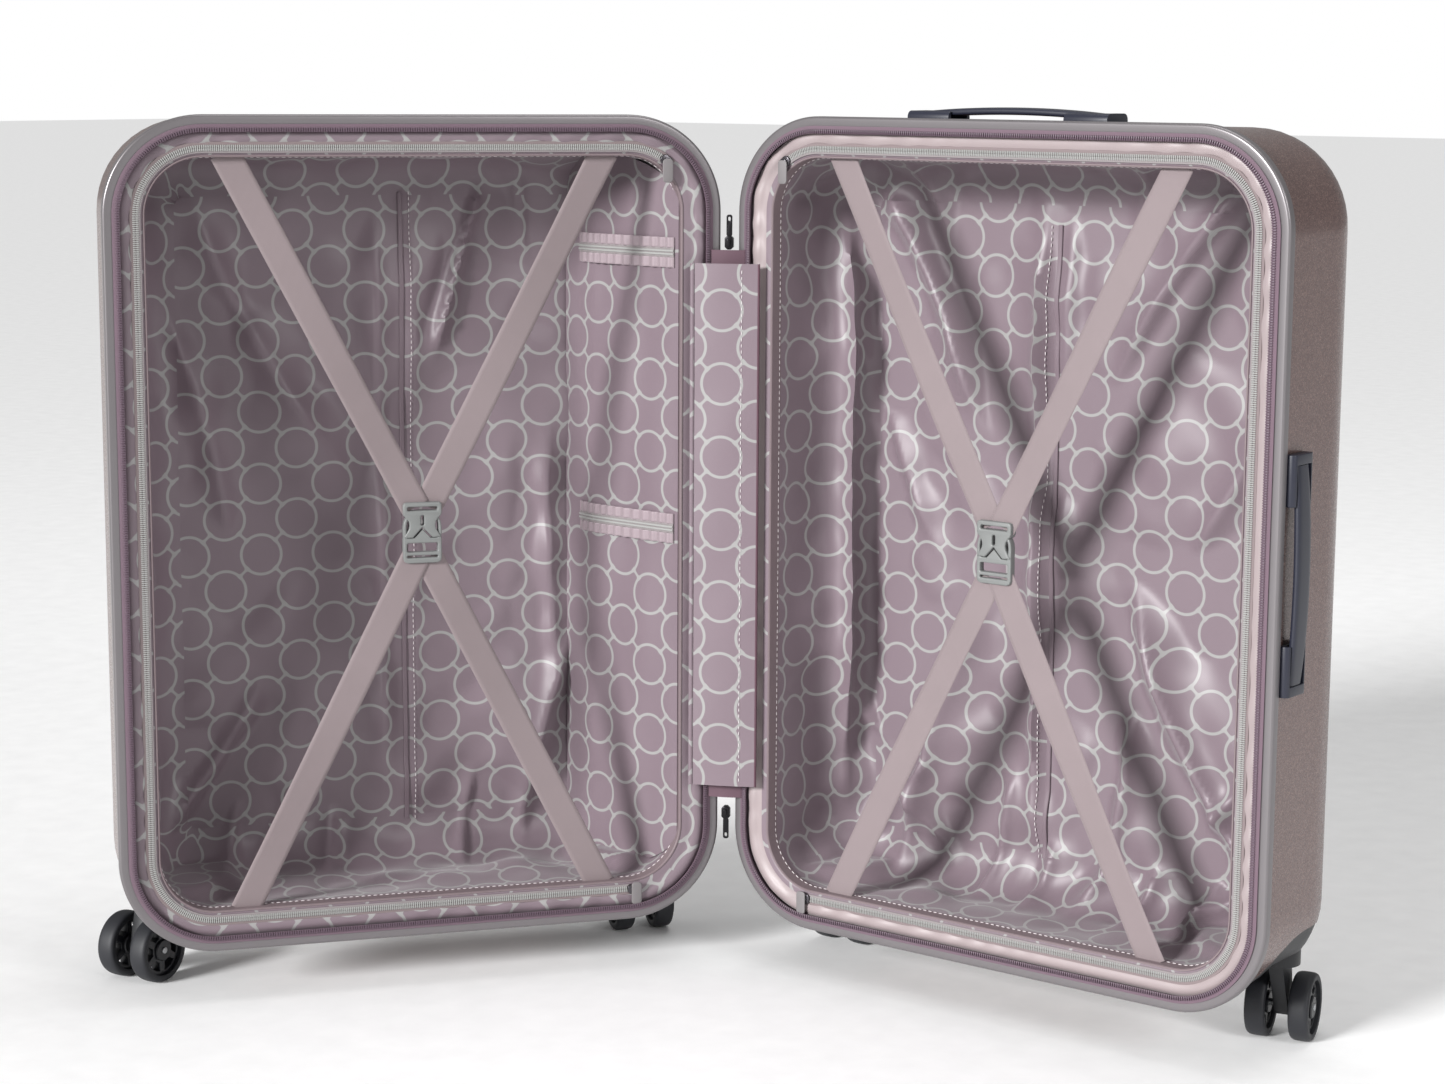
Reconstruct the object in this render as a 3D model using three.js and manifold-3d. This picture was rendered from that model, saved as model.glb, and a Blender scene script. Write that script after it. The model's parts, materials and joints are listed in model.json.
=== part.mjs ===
// Large hard-shell suitcase on four double casters, standing open like a book.
//
// Each half is drawn in its own half frame, in millimetres:
//   x  along the width, from the hinge-side edge of the rim to the outer side
//   y  depth, from the rim plane (where the two halves meet) to the back of the shell
//   z  height above the bottom of the shell
// The back half carries the handles and the trolley. The front half is the same
// drawing mirrored in y and turned about the hinge line.
import * as THREE from 'three';
import { mergeVertices } from 'three/addons/utils/BufferGeometryUtils.js';
import Module from 'manifold-3d';

const wasm = await Module();
wasm.setup();

// ---------------------------------------------------------------- driving sizes
const CASE = {
  width: 520,
  height: 700,
  depth: 150,
  cornerRadius: 82, // corners of the rim outline, seen from the front
  backRadius: 55, // fillet between the side walls and the back
  sideInset: 4, // how far the shell's side wall stands inside the rim
  wall: 2.6,
  groundClearance: 45, // shell bottom above the floor
};
const HINGE = { gap: 6, openAngle: 125.5 }; // gap: rim edge to hinge line
const CLEAR = 0.4; // between touching pieces
const RUNNING = 0.5; // between pieces that slide or turn
const ARC_STEPS = 6; // segments in each corner of an outline

const RIM = { width: 9, front: 4, back: 12 };
const ZIP = { tapeThickness: 1.4, front: 0.5, back: 12, teethWidth: 3.4 };
const LINING = {
  flangeFront: 7.5,
  thickness: 1.5,
  mouthInset: 33, // from the rim outline to the opening of the lining
  floorRadius: 38,
  frontGap: 7, // between the front half's floor and the back of its shell
  tubeGap: 3, // between the back half's floor cloth and the trolley tubes
};
const LINING_ZIP = {
  width: 8,
  thickness: 1.4,
  inset: 27,
  topTurn: 44, // how far it runs round the upper hinge-side corner, in degrees
  bottomTurn: 12,
};
const LINING_SLIDER = { length: 11, width: 9, height: 3.2 };
const LINING_TAB = { length: 20, width: 9, thickness: 1.6, above: 5.5, beside: 4 };
const STRAP = {
  width: 25,
  thickness: 1.2,
  front: 14, // depth of the webbing behind the rim plane
  topSpread: 158, // anchors either side of the middle
  bottomSpread: 154,
  endInset: 34.5, // anchors inside the top and bottom of the outline
  apexSpread: 7, // half spacing of the two legs where they meet at the buckle
};
const BUCKLE = {
  width: 33,
  thickness: 9,
  wall: 2,
  socket: 30,
  plug: 22,
  belowMiddle: 4,
  prongWidth: 5,
  prongFoot: 4,
};
const POCKET = { nearX: 36, nearDepth: 13, farX: 92, farDepth: 100, thickness: 1.6 };
const FLAP = { reach: 26, thickness: 1.2, aboveBottom: 120, belowTop: 125, front: 0.8 };
const SLIDER = { across: 7.4, length: 12, aboveFlap: 17, belowFlap: 28, pull: 16 };

const GRIP = {
  length: 188,
  width: 22,
  thickness: 6,
  rise: 7, // underside above the shell in the middle
  endRise: 3.2,
  depth: 30, // middle of the handle behind the rim plane
  capLength: 40,
  capWidth: 32,
  capHeight: 9.5,
  capEndWall: 8,
  sideRaise: 8, // the side handle sits this far above mid-height
};
const CASTER = {
  wheelRadius: 28.5,
  wheelWidth: 17,
  wheelSpacing: 36,
  bore: 3.4,
  axleRadius: 3,
  trail: 19,
  fromSide: 39, // swivel line inside the rim outline
  fromBack: 43, // swivel line in front of the back of the shell
  headroom: 26, // wheel-well ceiling above the wheels
  wellClearance: 1.8, // wheel-well wall outside the turning wheels
  webWidth: 12,
  hubRadius: 9,
  bossRadius: 17,
  bossDepth: 14,
  sides: 20,
};
const HOUSING = { skin: 3, recess: 0.9, margin: 9.5, aboveCeiling: 24, foot: 19 };
const TROLLEY = {
  spacing: 190,
  fromBack: 21, // middle of the tubes in front of the back of the shell
  outerX: 20,
  outerY: 15,
  tubeWall: 1.3,
  tubePlay: 0.4, // between the outer and inner tubes
  innerLength: 425,
  gripHeight: 17,
  gripDepth: 22,
  gripBelowTop: 24,
  cupDepth: 52,
  cupWall: 3,
  cupMargin: 8,
};
const BRACKET = { bottom: 64, height: 26, wall: 4, seat: 5 };
const BUTTON = { length: 30, width: 10, height: 9, proud: 1.6, travel: 4 };

// ---------------------------------------------------------------- sizes that follow
const middleX = CASE.width / 2;
const liningMouth = LINING.mouthInset;
const tapeInner = RIM.width + CLEAR + ZIP.tapeThickness;

const axleZ = CASTER.wheelRadius - CASE.groundClearance;
const wheelTop = axleZ + CASTER.wheelRadius;
const wheelReach = Math.hypot(
  CASTER.trail + Math.sqrt(CASTER.wheelRadius ** 2 - axleZ ** 2),
  (CASTER.wheelSpacing + CASTER.wheelWidth) / 2,
); // how far the turning wheels sweep, where they enter the shell
const wellRadius = wheelReach + CASTER.wellClearance;
const wellCeiling = wheelTop + CASTER.headroom;
const casterDepth = CASE.depth - CASTER.fromBack;

const trolleyDepth = CASE.depth - TROLLEY.fromBack;
const tubeShrink = 2 * (TROLLEY.tubeWall + TROLLEY.tubePlay);
const innerTubeX = TROLLEY.outerX - tubeShrink;
const innerTubeY = TROLLEY.outerY - tubeShrink;
const gripTop = CASE.height - TROLLEY.gripBelowTop;
const cupFloor = CASE.height - TROLLEY.cupDepth;
const flapTop = CASE.height - FLAP.belowTop;

// ---------------------------------------------------------------- materials
const finish = (color, roughness, metalness = 0) =>
  new THREE.MeshStandardMaterial({ color, roughness, metalness });
const MATERIAL = {
  shell: finish('#93796d', 0.32, 0.25),
  rim: finish('#a8a2a4', 0.45),
  zipTape: finish('#86717c', 0.8),
  lining: finish('#9a8c97', 0.6),
  liningZip: finish('#b9b6b6', 0.55),
  webbing: finish('#b39da5', 0.75),
  buckle: finish('#9aa0a0', 0.5),
  handle: finish('#2b2d38', 0.45),
  wheelHousing: finish('#17181c', 0.5),
  wheel: finish('#2e2f31', 0.6),
  steel: finish('#a9abad', 0.3, 0.9),
  aluminium: finish('#c3c5c8', 0.35, 0.8),
  sliderMetal: finish('#4c4a4d', 0.3, 0.8),
  pullRubber: finish('#8d8a8b', 0.7),
};

// ---------------------------------------------------------------- mesh helpers

/** Signed volume of an indexed triangle mesh, positive when its faces point out. */
function signedVolume(positions, index) {
  const corner = [new THREE.Vector3(), new THREE.Vector3(), new THREE.Vector3()];
  let volume = 0;
  for (let i = 0; i < index.length; i += 3) {
    corner.forEach((v, k) => v.fromArray(positions, 3 * index[i + k]));
    volume += corner[0].dot(corner[1].clone().cross(corner[2])) / 6;
  }
  return volume;
}

/** Keeps only position, merges shared vertices and makes every face point out. */
function closed(geometry) {
  const bare = geometry.clone();
  bare.deleteAttribute('normal');
  bare.deleteAttribute('uv');
  const merged = mergeVertices(bare, 1e-4);
  const index = Array.from(merged.index.array);
  if (signedVolume(merged.attributes.position.array, index) < 0) {
    for (let i = 0; i < index.length; i += 3) {
      [index[i + 1], index[i + 2]] = [index[i + 2], index[i + 1]];
    }
    merged.setIndex(index);
  }
  return merged;
}

/** A closed mesh as a solid for boolean work. */
function solid(geometry) {
  const mesh = closed(geometry);
  return new wasm.Manifold(
    new wasm.Mesh({
      numProp: 3,
      vertProperties: Float32Array.from(mesh.attributes.position.array),
      triVerts: Uint32Array.from(mesh.index.array),
    }),
  );
}

/** A solid back as a mesh. */
function meshed(manifold) {
  const mesh = manifold.getMesh();
  const geometry = new THREE.BufferGeometry();
  geometry.setAttribute('position', new THREE.BufferAttribute(mesh.vertProperties, 3));
  geometry.setIndex(new THREE.BufferAttribute(mesh.triVerts, 1));
  return geometry;
}

/** Joins rings of equal length into a skin; the two ends are capped, or joined to each other. */
function loft(rings, ringsClose = false) {
  const count = rings[0].length;
  const positions = rings.flat(2);
  const index = [];
  const steps = ringsClose ? rings.length : rings.length - 1;
  for (let r = 0; r < steps; r += 1) {
    const a = r * count;
    const b = ((r + 1) % rings.length) * count;
    for (let i = 0; i < count; i += 1) {
      const j = (i + 1) % count;
      index.push(a + i, a + j, b + j, a + i, b + j, b + i);
    }
  }
  if (!ringsClose) {
    const last = (rings.length - 1) * count;
    for (let i = 1; i < count - 1; i += 1) {
      index.push(0, i + 1, i, last, last + i, last + i + 1);
    }
  }
  const geometry = new THREE.BufferGeometry();
  geometry.setAttribute('position', new THREE.Float32BufferAttribute(positions, 3));
  geometry.setIndex(index);
  return closed(geometry);
}

/** The case's outline, inset by a distance, as points at one depth. */
function outline(inset, depth) {
  const radius = Math.max(CASE.cornerRadius - inset, 6);
  const centres = [
    [CASE.width - inset - radius, CASE.height - inset - radius],
    [inset + radius, CASE.height - inset - radius],
    [inset + radius, inset + radius],
    [CASE.width - inset - radius, inset + radius],
  ];
  return centres.flatMap(([x, z], quarter) =>
    Array.from({ length: ARC_STEPS + 1 }, (_, step) => {
      const angle = (Math.PI / 2) * (quarter + step / ARC_STEPS);
      return [x + radius * Math.cos(angle), depth, z + radius * Math.sin(angle)];
    }),
  );
}

/** A ring of constant section that follows the case's outline; profile is [inset, depth] pairs. */
const band = (profile) => loft(profile.map(([inset, depth]) => outline(inset, depth)), true);

/** Rings of a wall that runs straight back from `front` and turns into a floor at `floor`. */
function wallRings(inset, front, floor, radius) {
  const bend = Array.from({ length: ARC_STEPS + 1 }, (_, step) => {
    const angle = (Math.PI / 2) * (step / ARC_STEPS);
    return outline(
      inset + radius * (1 - Math.cos(angle)),
      floor - radius * (1 - Math.sin(angle)),
    );
  });
  return [outline(inset, front), ...bend];
}

/** A block between two corners. */
function block([x0, y0, z0], [x1, y1, z1]) {
  const geometry = new THREE.BoxGeometry(x1 - x0, y1 - y0, z1 - z0);
  geometry.translate((x0 + x1) / 2, (y0 + y1) / 2, (z0 + z1) / 2);
  return closed(geometry);
}

/** An upright cylinder. */
function post(x, y, bottom, top, radius, sides = 24) {
  const geometry = new THREE.CylinderGeometry(radius, radius, top - bottom, sides);
  geometry.rotateX(Math.PI / 2);
  geometry.translate(x, y, (bottom + top) / 2);
  return closed(geometry);
}

/** A flat plate drawn in x and z, lying between two depths. */
function plate(points, front, back) {
  const shape = new THREE.Shape(points.map(([x, z]) => new THREE.Vector2(x, z)));
  const geometry = new THREE.ExtrudeGeometry(shape, { depth: back - front, bevelEnabled: false });
  geometry.rotateX(Math.PI / 2);
  geometry.translate(0, back, 0);
  return closed(geometry);
}

/** A profile drawn in depth and height (y, z), running along x between two places. */
function bar(points, from, to) {
  const shape = new THREE.Shape(points.map(([y, z]) => new THREE.Vector2(y, z)));
  const geometry = new THREE.ExtrudeGeometry(shape, { depth: to - from, bevelEnabled: false });
  geometry.rotateY(Math.PI / 2);
  geometry.rotateX(Math.PI / 2);
  geometry.translate(from, 0, 0);
  return closed(geometry);
}

/** Rounded rectangle in x and z about a middle, as points. */
function roundedRectangle(width, height, radius, x = 0, z = 0, steps = 4) {
  const corners = [
    [width / 2 - radius, height / 2 - radius],
    [radius - width / 2, height / 2 - radius],
    [radius - width / 2, radius - height / 2],
    [width / 2 - radius, radius - height / 2],
  ];
  return corners.flatMap(([cx, cz], quarter) =>
    Array.from({ length: steps + 1 }, (_, step) => {
      const angle = (Math.PI / 2) * (quarter + step / steps);
      return [x + cx + radius * Math.cos(angle), z + cz + radius * Math.sin(angle)];
    }),
  );
}

const union = (...parts) => parts.reduce((sum, part) => sum.add(part));
const cut = (body, ...tools) => tools.reduce((left, tool) => left.subtract(tool), body);

// ---------------------------------------------------------------- assembly helpers
const suitcase = new THREE.Group();
const backHalf = new THREE.Group();
const frontHalf = new THREE.Group();
backHalf.position.set(HINGE.gap, 0, CASE.groundClearance);
const frontSwing = new THREE.Group();
frontSwing.rotation.z = -THREE.MathUtils.degToRad(HINGE.openAngle);
frontHalf.position.set(HINGE.gap, 0, CASE.groundClearance);
frontSwing.add(frontHalf);
suitcase.add(backHalf, frontSwing);

const HALVES = [
  {
    name: 'back',
    group: backHalf,
    mirror: 1,
    floor: trolleyDepth - TROLLEY.outerY / 2 - LINING.tubeGap - LINING.thickness,
  },
  { name: 'front', group: frontHalf, mirror: -1, floor: CASE.depth - LINING.frontGap },
];
const SIDES = [
  { name: 'outer', x: CASE.width - CASTER.fromSide, toSide: 1 },
  { name: 'hinge', x: CASTER.fromSide, toSide: -1 },
];

/** Adds a named piece to a half, mirrored in depth for the front half. */
function addToHalf(half, name, geometry, material) {
  const placed = geometry.clone();
  placed.scale(1, half.mirror, 1);
  const mesh = new THREE.Mesh(closed(placed), material);
  mesh.name = name;
  half.group.add(mesh);
}

/** Adds a named piece to any group as it stands. */
function addTo(group, name, geometry, material) {
  const mesh = new THREE.Mesh(closed(geometry), material);
  mesh.name = name;
  group.add(mesh);
}

// ---------------------------------------------------------------- shell and wheel housings

/** The shell's outer form as one filled solid, inset by a distance. */
function envelope(inset) {
  const radius = CASE.backRadius - inset;
  const floor = CASE.depth - inset;
  return solid(loft(wallRings(CASE.sideInset + inset, RIM.back + CLEAR, floor, radius)));
}

/** The corner volume that the wheel housing takes from the shell, grown by a clearance. */
function housingVolume(side, grow) {
  const rise = wellCeiling + HOUSING.aboveCeiling;
  const foot = HOUSING.foot - grow;
  const run = casterDepth - HOUSING.foot;
  const curve = new THREE.SplineCurve([
    new THREE.Vector2(foot, -1),
    new THREE.Vector2(foot + 0.03 * run, 0.32 * rise + grow),
    new THREE.Vector2(foot + 0.19 * run, 0.6 * rise + grow),
    new THREE.Vector2(foot + 0.38 * run, 0.81 * rise + grow),
    new THREE.Vector2(foot + 0.61 * run, 0.95 * rise + grow),
    new THREE.Vector2(foot + run, rise + grow),
  ]);
  const top = rise + grow;
  const behind = CASE.depth + 10;
  const below = -10;
  const points = [
    [foot, below],
    ...curve.getPoints(12).map((p) => [p.x, p.y]),
    [behind, top],
    [behind, below],
  ];
  const reach = CASTER.fromSide + wellRadius + HOUSING.skin + HOUSING.margin + grow;
  const outer = CASE.width + 10;
  return solid(
    side.toSide > 0
      ? bar(points, CASE.width - reach, outer)
      : bar(points, CASE.width - outer, reach),
  );
}

const wellCup = (side, grow) =>
  solid(
    post(
      side.x,
      casterDepth,
      -CASE.groundClearance / 2,
      wellCeiling + HOUSING.skin + grow,
      wellRadius + HOUSING.skin + grow,
      28,
    ),
  );

function wheelHousing(side) {
  const volume = housingVolume(side, 0);
  const outside = envelope(HOUSING.recess);
  const skin = cut(outside, envelope(HOUSING.recess + HOUSING.skin)).intersect(volume);
  const cup = outside.intersect(wellCup(side, 0)).intersect(volume);
  const well = solid(
    post(side.x, casterDepth, -CASE.groundClearance, wellCeiling, wellRadius, 28),
  );
  return cut(union(skin, cup), well);
}

/** The trolley's cup in the back half's top, as an outer block grown by a clearance. */
function trolleyCupBlock(grow) {
  const half = TROLLEY.spacing / 2 + TROLLEY.outerX / 2 + TROLLEY.cupMargin + grow;
  const front = trolleyDepth - TROLLEY.gripDepth / 2 - TROLLEY.cupWall - RUNNING - grow;
  return solid(
    block(
      [middleX - half, front, cupFloor - TROLLEY.cupWall - grow],
      [middleX + half, CASE.depth + 10, CASE.height + 10],
    ),
  );
}

function shellSolid(half) {
  let shell = cut(envelope(0), envelope(CASE.wall));
  const opened = solid(
    loft([
      outline(CASE.sideInset + CASE.wall, RIM.back),
      outline(CASE.sideInset + CASE.wall, RIM.back + 2 * CASE.wall),
    ]),
  );
  shell = cut(shell, opened, ...SIDES.map((side) => housingVolume(side, CLEAR)));
  return half.name === 'back' ? cut(shell, trolleyCupBlock(CLEAR)) : shell;
}

for (const half of HALVES) {
  addToHalf(half, `${half.name}_shell`, meshed(shellSolid(half)), MATERIAL.shell);
  for (const side of SIDES) {
    addToHalf(
      half,
      `${half.name}_${side.name}_wheel_housing`,
      meshed(wheelHousing(side)),
      MATERIAL.wheelHousing,
    );
  }
}

// ---------------------------------------------------------------- rim and zip tape
for (const half of HALVES) {
  const round = 2.2;
  const rim = band([
    [round, RIM.front],
    [0, RIM.front + round],
    [0, RIM.back],
    [RIM.width, RIM.back],
    [RIM.width, RIM.front],
  ]);
  addToHalf(half, `${half.name}_rim`, rim, MATERIAL.rim);

  const outer = RIM.width + CLEAR;
  const inner = outer + ZIP.tapeThickness;
  const middle = (outer + inner) / 2;
  const tape = band([
    [middle - ZIP.teethWidth / 2, ZIP.front],
    [middle - ZIP.teethWidth / 2, RIM.front - CLEAR],
    [outer, RIM.front - CLEAR],
    [outer, ZIP.back],
    [inner, ZIP.back],
    [inner, RIM.front - CLEAR],
    [middle + ZIP.teethWidth / 2, RIM.front - CLEAR],
    [middle + ZIP.teethWidth / 2, ZIP.front],
  ]);
  addToHalf(half, `${half.name}_zip_tape`, tape, MATERIAL.zipTape);
}

// ---------------------------------------------------------------- lining
/** What the lining has to be lifted over, grown by a distance. */
const obstacles = (half, grow) => [
  ...SIDES.map((side) => wellCup(side, grow)),
  ...(half.name === 'back' ? [trolleyCupBlock(grow)] : []),
];

/** The space inside a half's lining, kept off the fabric by a gap. */
function liningCavity(half, gap) {
  const space = solid(
    loft(
      wallRings(
        liningMouth + gap,
        LINING.flangeFront - 1,
        half.floor - gap,
        LINING.floorRadius - gap,
      ),
    ),
  );
  return cut(space, ...obstacles(half, RUNNING + LINING.thickness + gap));
}

/** A fabric tray with a flange at its mouth, lifted over the wheel wells and the trolley cup. */
function liningSolid(half) {
  const flangeBack = LINING.flangeFront + LINING.thickness;
  const outside = solid(
    loft(
      wallRings(
        liningMouth - LINING.thickness,
        LINING.flangeFront,
        half.floor + LINING.thickness,
        LINING.floorRadius + LINING.thickness,
      ),
    ),
  );
  const flange = solid(
    loft([outline(tapeInner + CLEAR, LINING.flangeFront), outline(tapeInner + CLEAR, flangeBack)]),
  );
  const tray = cut(outside, ...obstacles(half, RUNNING));
  return cut(union(tray, flange), liningCavity(half, 0));
}

/** A point of the case's outline at an inset, on the corner arc of one quarter. */
function cornerPoint(inset, right, top, degrees) {
  const radius = CASE.cornerRadius - inset;
  const angle = THREE.MathUtils.degToRad(degrees);
  const x = right ? CASE.width - CASE.cornerRadius : CASE.cornerRadius;
  const z = top ? CASE.height - CASE.cornerRadius : CASE.cornerRadius;
  return [x + radius * Math.cos(angle), z + radius * Math.sin(angle)];
}

/** The lining's U-shaped zip, from the upper hinge-side corner round the outer side to the lower one. */
function zipPath(inset) {
  const arc = (right, top, from, to) =>
    Array.from({ length: ARC_STEPS + 1 }, (_, step) =>
      cornerPoint(inset, right, top, from + ((to - from) * step) / ARC_STEPS),
    );
  return [
    ...arc(false, true, 90 + LINING_ZIP.topTurn, 90),
    ...arc(true, true, 90, 0),
    ...arc(true, false, 0, -90),
    ...arc(false, false, -90, -90 - LINING_ZIP.bottomTurn),
  ];
}

const LINING_PULLS = [
  {
    name: 'top',
    end: cornerPoint(LINING_ZIP.inset, false, true, 90 + LINING_ZIP.topTurn),
    tilt: LINING_ZIP.topTurn,
  },
  {
    name: 'bottom',
    end: cornerPoint(LINING_ZIP.inset, false, false, -90 - LINING_ZIP.bottomTurn),
    tilt: -LINING_ZIP.bottomTurn,
  },
];
const liningZipBack = LINING.flangeFront - CLEAR;
const liningZipFront = liningZipBack - LINING_ZIP.thickness;
const sliderFront = liningZipBack - LINING_SLIDER.height;

function liningZip() {
  const outer = zipPath(LINING_ZIP.inset - LINING_ZIP.width / 2);
  const inner = zipPath(LINING_ZIP.inset + LINING_ZIP.width / 2);
  const strip = solid(plate([...outer, ...inner.reverse()], liningZipFront, liningZipBack));
  const sliders = LINING_PULLS.map(({ end, tilt }) => {
    const body = block(
      [-1, sliderFront, -LINING_SLIDER.width / 2],
      [LINING_SLIDER.length - 1, liningZipBack, LINING_SLIDER.width / 2],
    );
    body.rotateY(-THREE.MathUtils.degToRad(tilt));
    body.translate(end[0], 0, end[1]);
    return solid(body);
  });
  return union(strip, ...sliders);
}

for (const half of HALVES) {
  addToHalf(half, `${half.name}_lining`, meshed(liningSolid(half)), MATERIAL.lining);
  addToHalf(half, `${half.name}_lining_zip`, meshed(liningZip()), MATERIAL.liningZip);
  for (const pull of LINING_PULLS) {
    const [x, z] = pull.end;
    const front = sliderFront - CLEAR - LINING_TAB.thickness;
    const tab = plate(
      roundedRectangle(
        LINING_TAB.width,
        LINING_TAB.length,
        3,
        x + LINING_TAB.beside,
        z + LINING_TAB.above - LINING_TAB.length / 2,
      ),
      front,
      front + LINING_TAB.thickness,
    );
    addToHalf(half, `${half.name}_lining_pull_${pull.name}`, tab, MATERIAL.pullRubber);
  }
}

// ---------------------------------------------------------------- luggage straps
const buckleMiddle = CASE.height / 2 - BUCKLE.belowMiddle;
const socketTop = buckleMiddle + BUCKLE.socket;
const plugBottom = buckleMiddle - BUCKLE.plug - CLEAR;

/** Two legs of webbing from a pair of anchors to one end of the buckle. */
function strapSolid(spread, anchorZ, apexZ) {
  const along = new THREE.Vector2(spread - STRAP.apexSpread, anchorZ - apexZ);
  const stretch = along.length() / Math.abs(along.y);
  const halfWidth = (STRAP.width / 2) * stretch;
  const leg = (sign) =>
    solid(
      plate(
        [
          [middleX + sign * STRAP.apexSpread - halfWidth, apexZ],
          [middleX + sign * STRAP.apexSpread + halfWidth, apexZ],
          [middleX + sign * spread + halfWidth, anchorZ],
          [middleX + sign * spread - halfWidth, anchorZ],
        ],
        STRAP.front,
        STRAP.front + STRAP.thickness,
      ),
    );
  return union(leg(-1), leg(1));
}

/** The buckle's socket: a flat box, open at its lower end for the plug's prongs. */
function buckleSocket() {
  const { wall } = BUCKLE;
  const back = STRAP.front + BUCKLE.thickness / 2;
  const front = back - BUCKLE.thickness;
  const body = solid(
    plate(
      roundedRectangle(BUCKLE.width, BUCKLE.socket, 5, middleX, buckleMiddle + BUCKLE.socket / 2),
      front,
      back,
    ),
  );
  const mouth = solid(
    block(
      [middleX - BUCKLE.width / 2 + wall, front + wall, buckleMiddle - 1],
      [middleX + BUCKLE.width / 2 - wall, back - wall, buckleMiddle + BUCKLE.socket - 7],
    ),
  );
  return cut(body, mouth);
}

/** The buckle's plug: a bar for the webbing and two prongs that enter the socket. */
function bucklePlug() {
  const { wall, prongWidth } = BUCKLE;
  const back = STRAP.front + BUCKLE.thickness / 2;
  const front = back - BUCKLE.thickness;
  const base = solid(
    plate(
      roundedRectangle(
        BUCKLE.width,
        BUCKLE.plug,
        4,
        middleX,
        buckleMiddle - CLEAR - BUCKLE.plug / 2,
      ),
      front + 1,
      back - 1,
    ),
  );
  const prong = (sign) => {
    const x = middleX + sign * (BUCKLE.width / 2 - wall - RUNNING - prongWidth / 2);
    return solid(
      block(
        [x - prongWidth / 2, front + wall + RUNNING, buckleMiddle - BUCKLE.prongFoot],
        [x + prongWidth / 2, back - wall - RUNNING, buckleMiddle + BUCKLE.socket - 9],
      ),
    );
  };
  return union(base, prong(-1), prong(1));
}

for (const half of HALVES) {
  const top = CASE.height - STRAP.endInset;
  const bottom = STRAP.endInset;
  const { name } = half;
  const upper = strapSolid(STRAP.topSpread, top, socketTop + CLEAR);
  const lower = strapSolid(STRAP.bottomSpread, bottom, plugBottom - CLEAR);
  addToHalf(half, `${name}_strap_upper`, meshed(upper), MATERIAL.webbing);
  addToHalf(half, `${name}_strap_lower`, meshed(lower), MATERIAL.webbing);
  addToHalf(half, `${name}_buckle_socket`, meshed(buckleSocket()), MATERIAL.buckle);
  addToHalf(half, `${name}_buckle_plug`, meshed(bucklePlug()), MATERIAL.buckle);
}

// ---------------------------------------------------------------- front pocket

/** A slanting panel across the hinge-side corner of the front half, trimmed to the lining. */
function pocketPanel(half) {
  const run = new THREE.Vector2(POCKET.farX - POCKET.nearX, POCKET.farDepth - POCKET.nearDepth);
  const across = new THREE.Vector2(-run.y, run.x).setLength(POCKET.thickness);
  const section = [
    [POCKET.nearX, POCKET.nearDepth],
    [POCKET.farX, POCKET.farDepth],
    [POCKET.farX + across.x, POCKET.farDepth + across.y],
    [POCKET.nearX + across.x, POCKET.nearDepth + across.y],
  ];
  const shape = new THREE.Shape(section.map(([x, y]) => new THREE.Vector2(x, y)));
  const slab = new THREE.ExtrudeGeometry(shape, { depth: CASE.height, bevelEnabled: false });
  return solid(slab).intersect(liningCavity(half, CLEAR));
}

addToHalf(HALVES[1], 'front_pocket_panel', meshed(pocketPanel(HALVES[1])), MATERIAL.lining);

// ---------------------------------------------------------------- fabric hinge and zip sliders
{
  const openness = THREE.MathUtils.degToRad(HINGE.openAngle);
  const reach = HINGE.gap + FLAP.reach;
  const chord = 2 * reach * Math.sin(openness / 2);
  const distance = reach * Math.cos(openness / 2) + FLAP.front;
  const flap = new THREE.BoxGeometry(chord, FLAP.thickness, flapTop - FLAP.aboveBottom);
  const turned = new THREE.Group();
  turned.rotation.z = (Math.PI - openness) / 2;
  addTo(turned, 'hinge_flap', flap, MATERIAL.lining);
  turned.children[0].position.set(
    0,
    -distance - FLAP.thickness / 2,
    CASE.groundClearance + (flapTop + FLAP.aboveBottom) / 2,
  );
  suitcase.add(turned);

  const sliderAt = (name, z, pullSide) => {
    const body = solid(post(0, 0, z - SLIDER.length / 2, z + SLIDER.length / 2, SLIDER.across / 2, 12));
    const pullMiddle = z + pullSide * (SLIDER.length + SLIDER.pull) * 0.5;
    const pull = solid(
      block(
        [-2.6, -1.1, pullMiddle - SLIDER.pull / 2 - 1],
        [2.6, 1.1, pullMiddle + SLIDER.pull / 2 + 1],
      ),
    );
    const group = new THREE.Group();
    group.position.z = CASE.groundClearance;
    addTo(group, name, meshed(union(body, pull)), MATERIAL.sliderMetal);
    suitcase.add(group);
  };
  sliderAt('zip_slider_top', flapTop + SLIDER.aboveFlap, 1);
  sliderAt('zip_slider_bottom', FLAP.aboveBottom - SLIDER.belowFlap, -1);
}

// ---------------------------------------------------------------- carry handles

/** An arched grip along x, its feet on z = 0, centred on the origin. */
function gripSolid() {
  const halfLength = GRIP.length / 2 - GRIP.capEndWall - RUNNING;
  const steps = 14;
  const lower = [];
  const upper = [];
  for (let i = 0; i <= steps; i += 1) {
    const u = (2 * i) / steps - 1;
    const lift = GRIP.endRise + (GRIP.rise - GRIP.endRise) * (1 - u * u);
    lower.push([u * halfLength, lift]);
    upper.push([u * halfLength, lift + GRIP.thickness]);
  }
  return solid(plate([...lower, ...upper.reverse()], -GRIP.width / 2, GRIP.width / 2));
}

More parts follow.
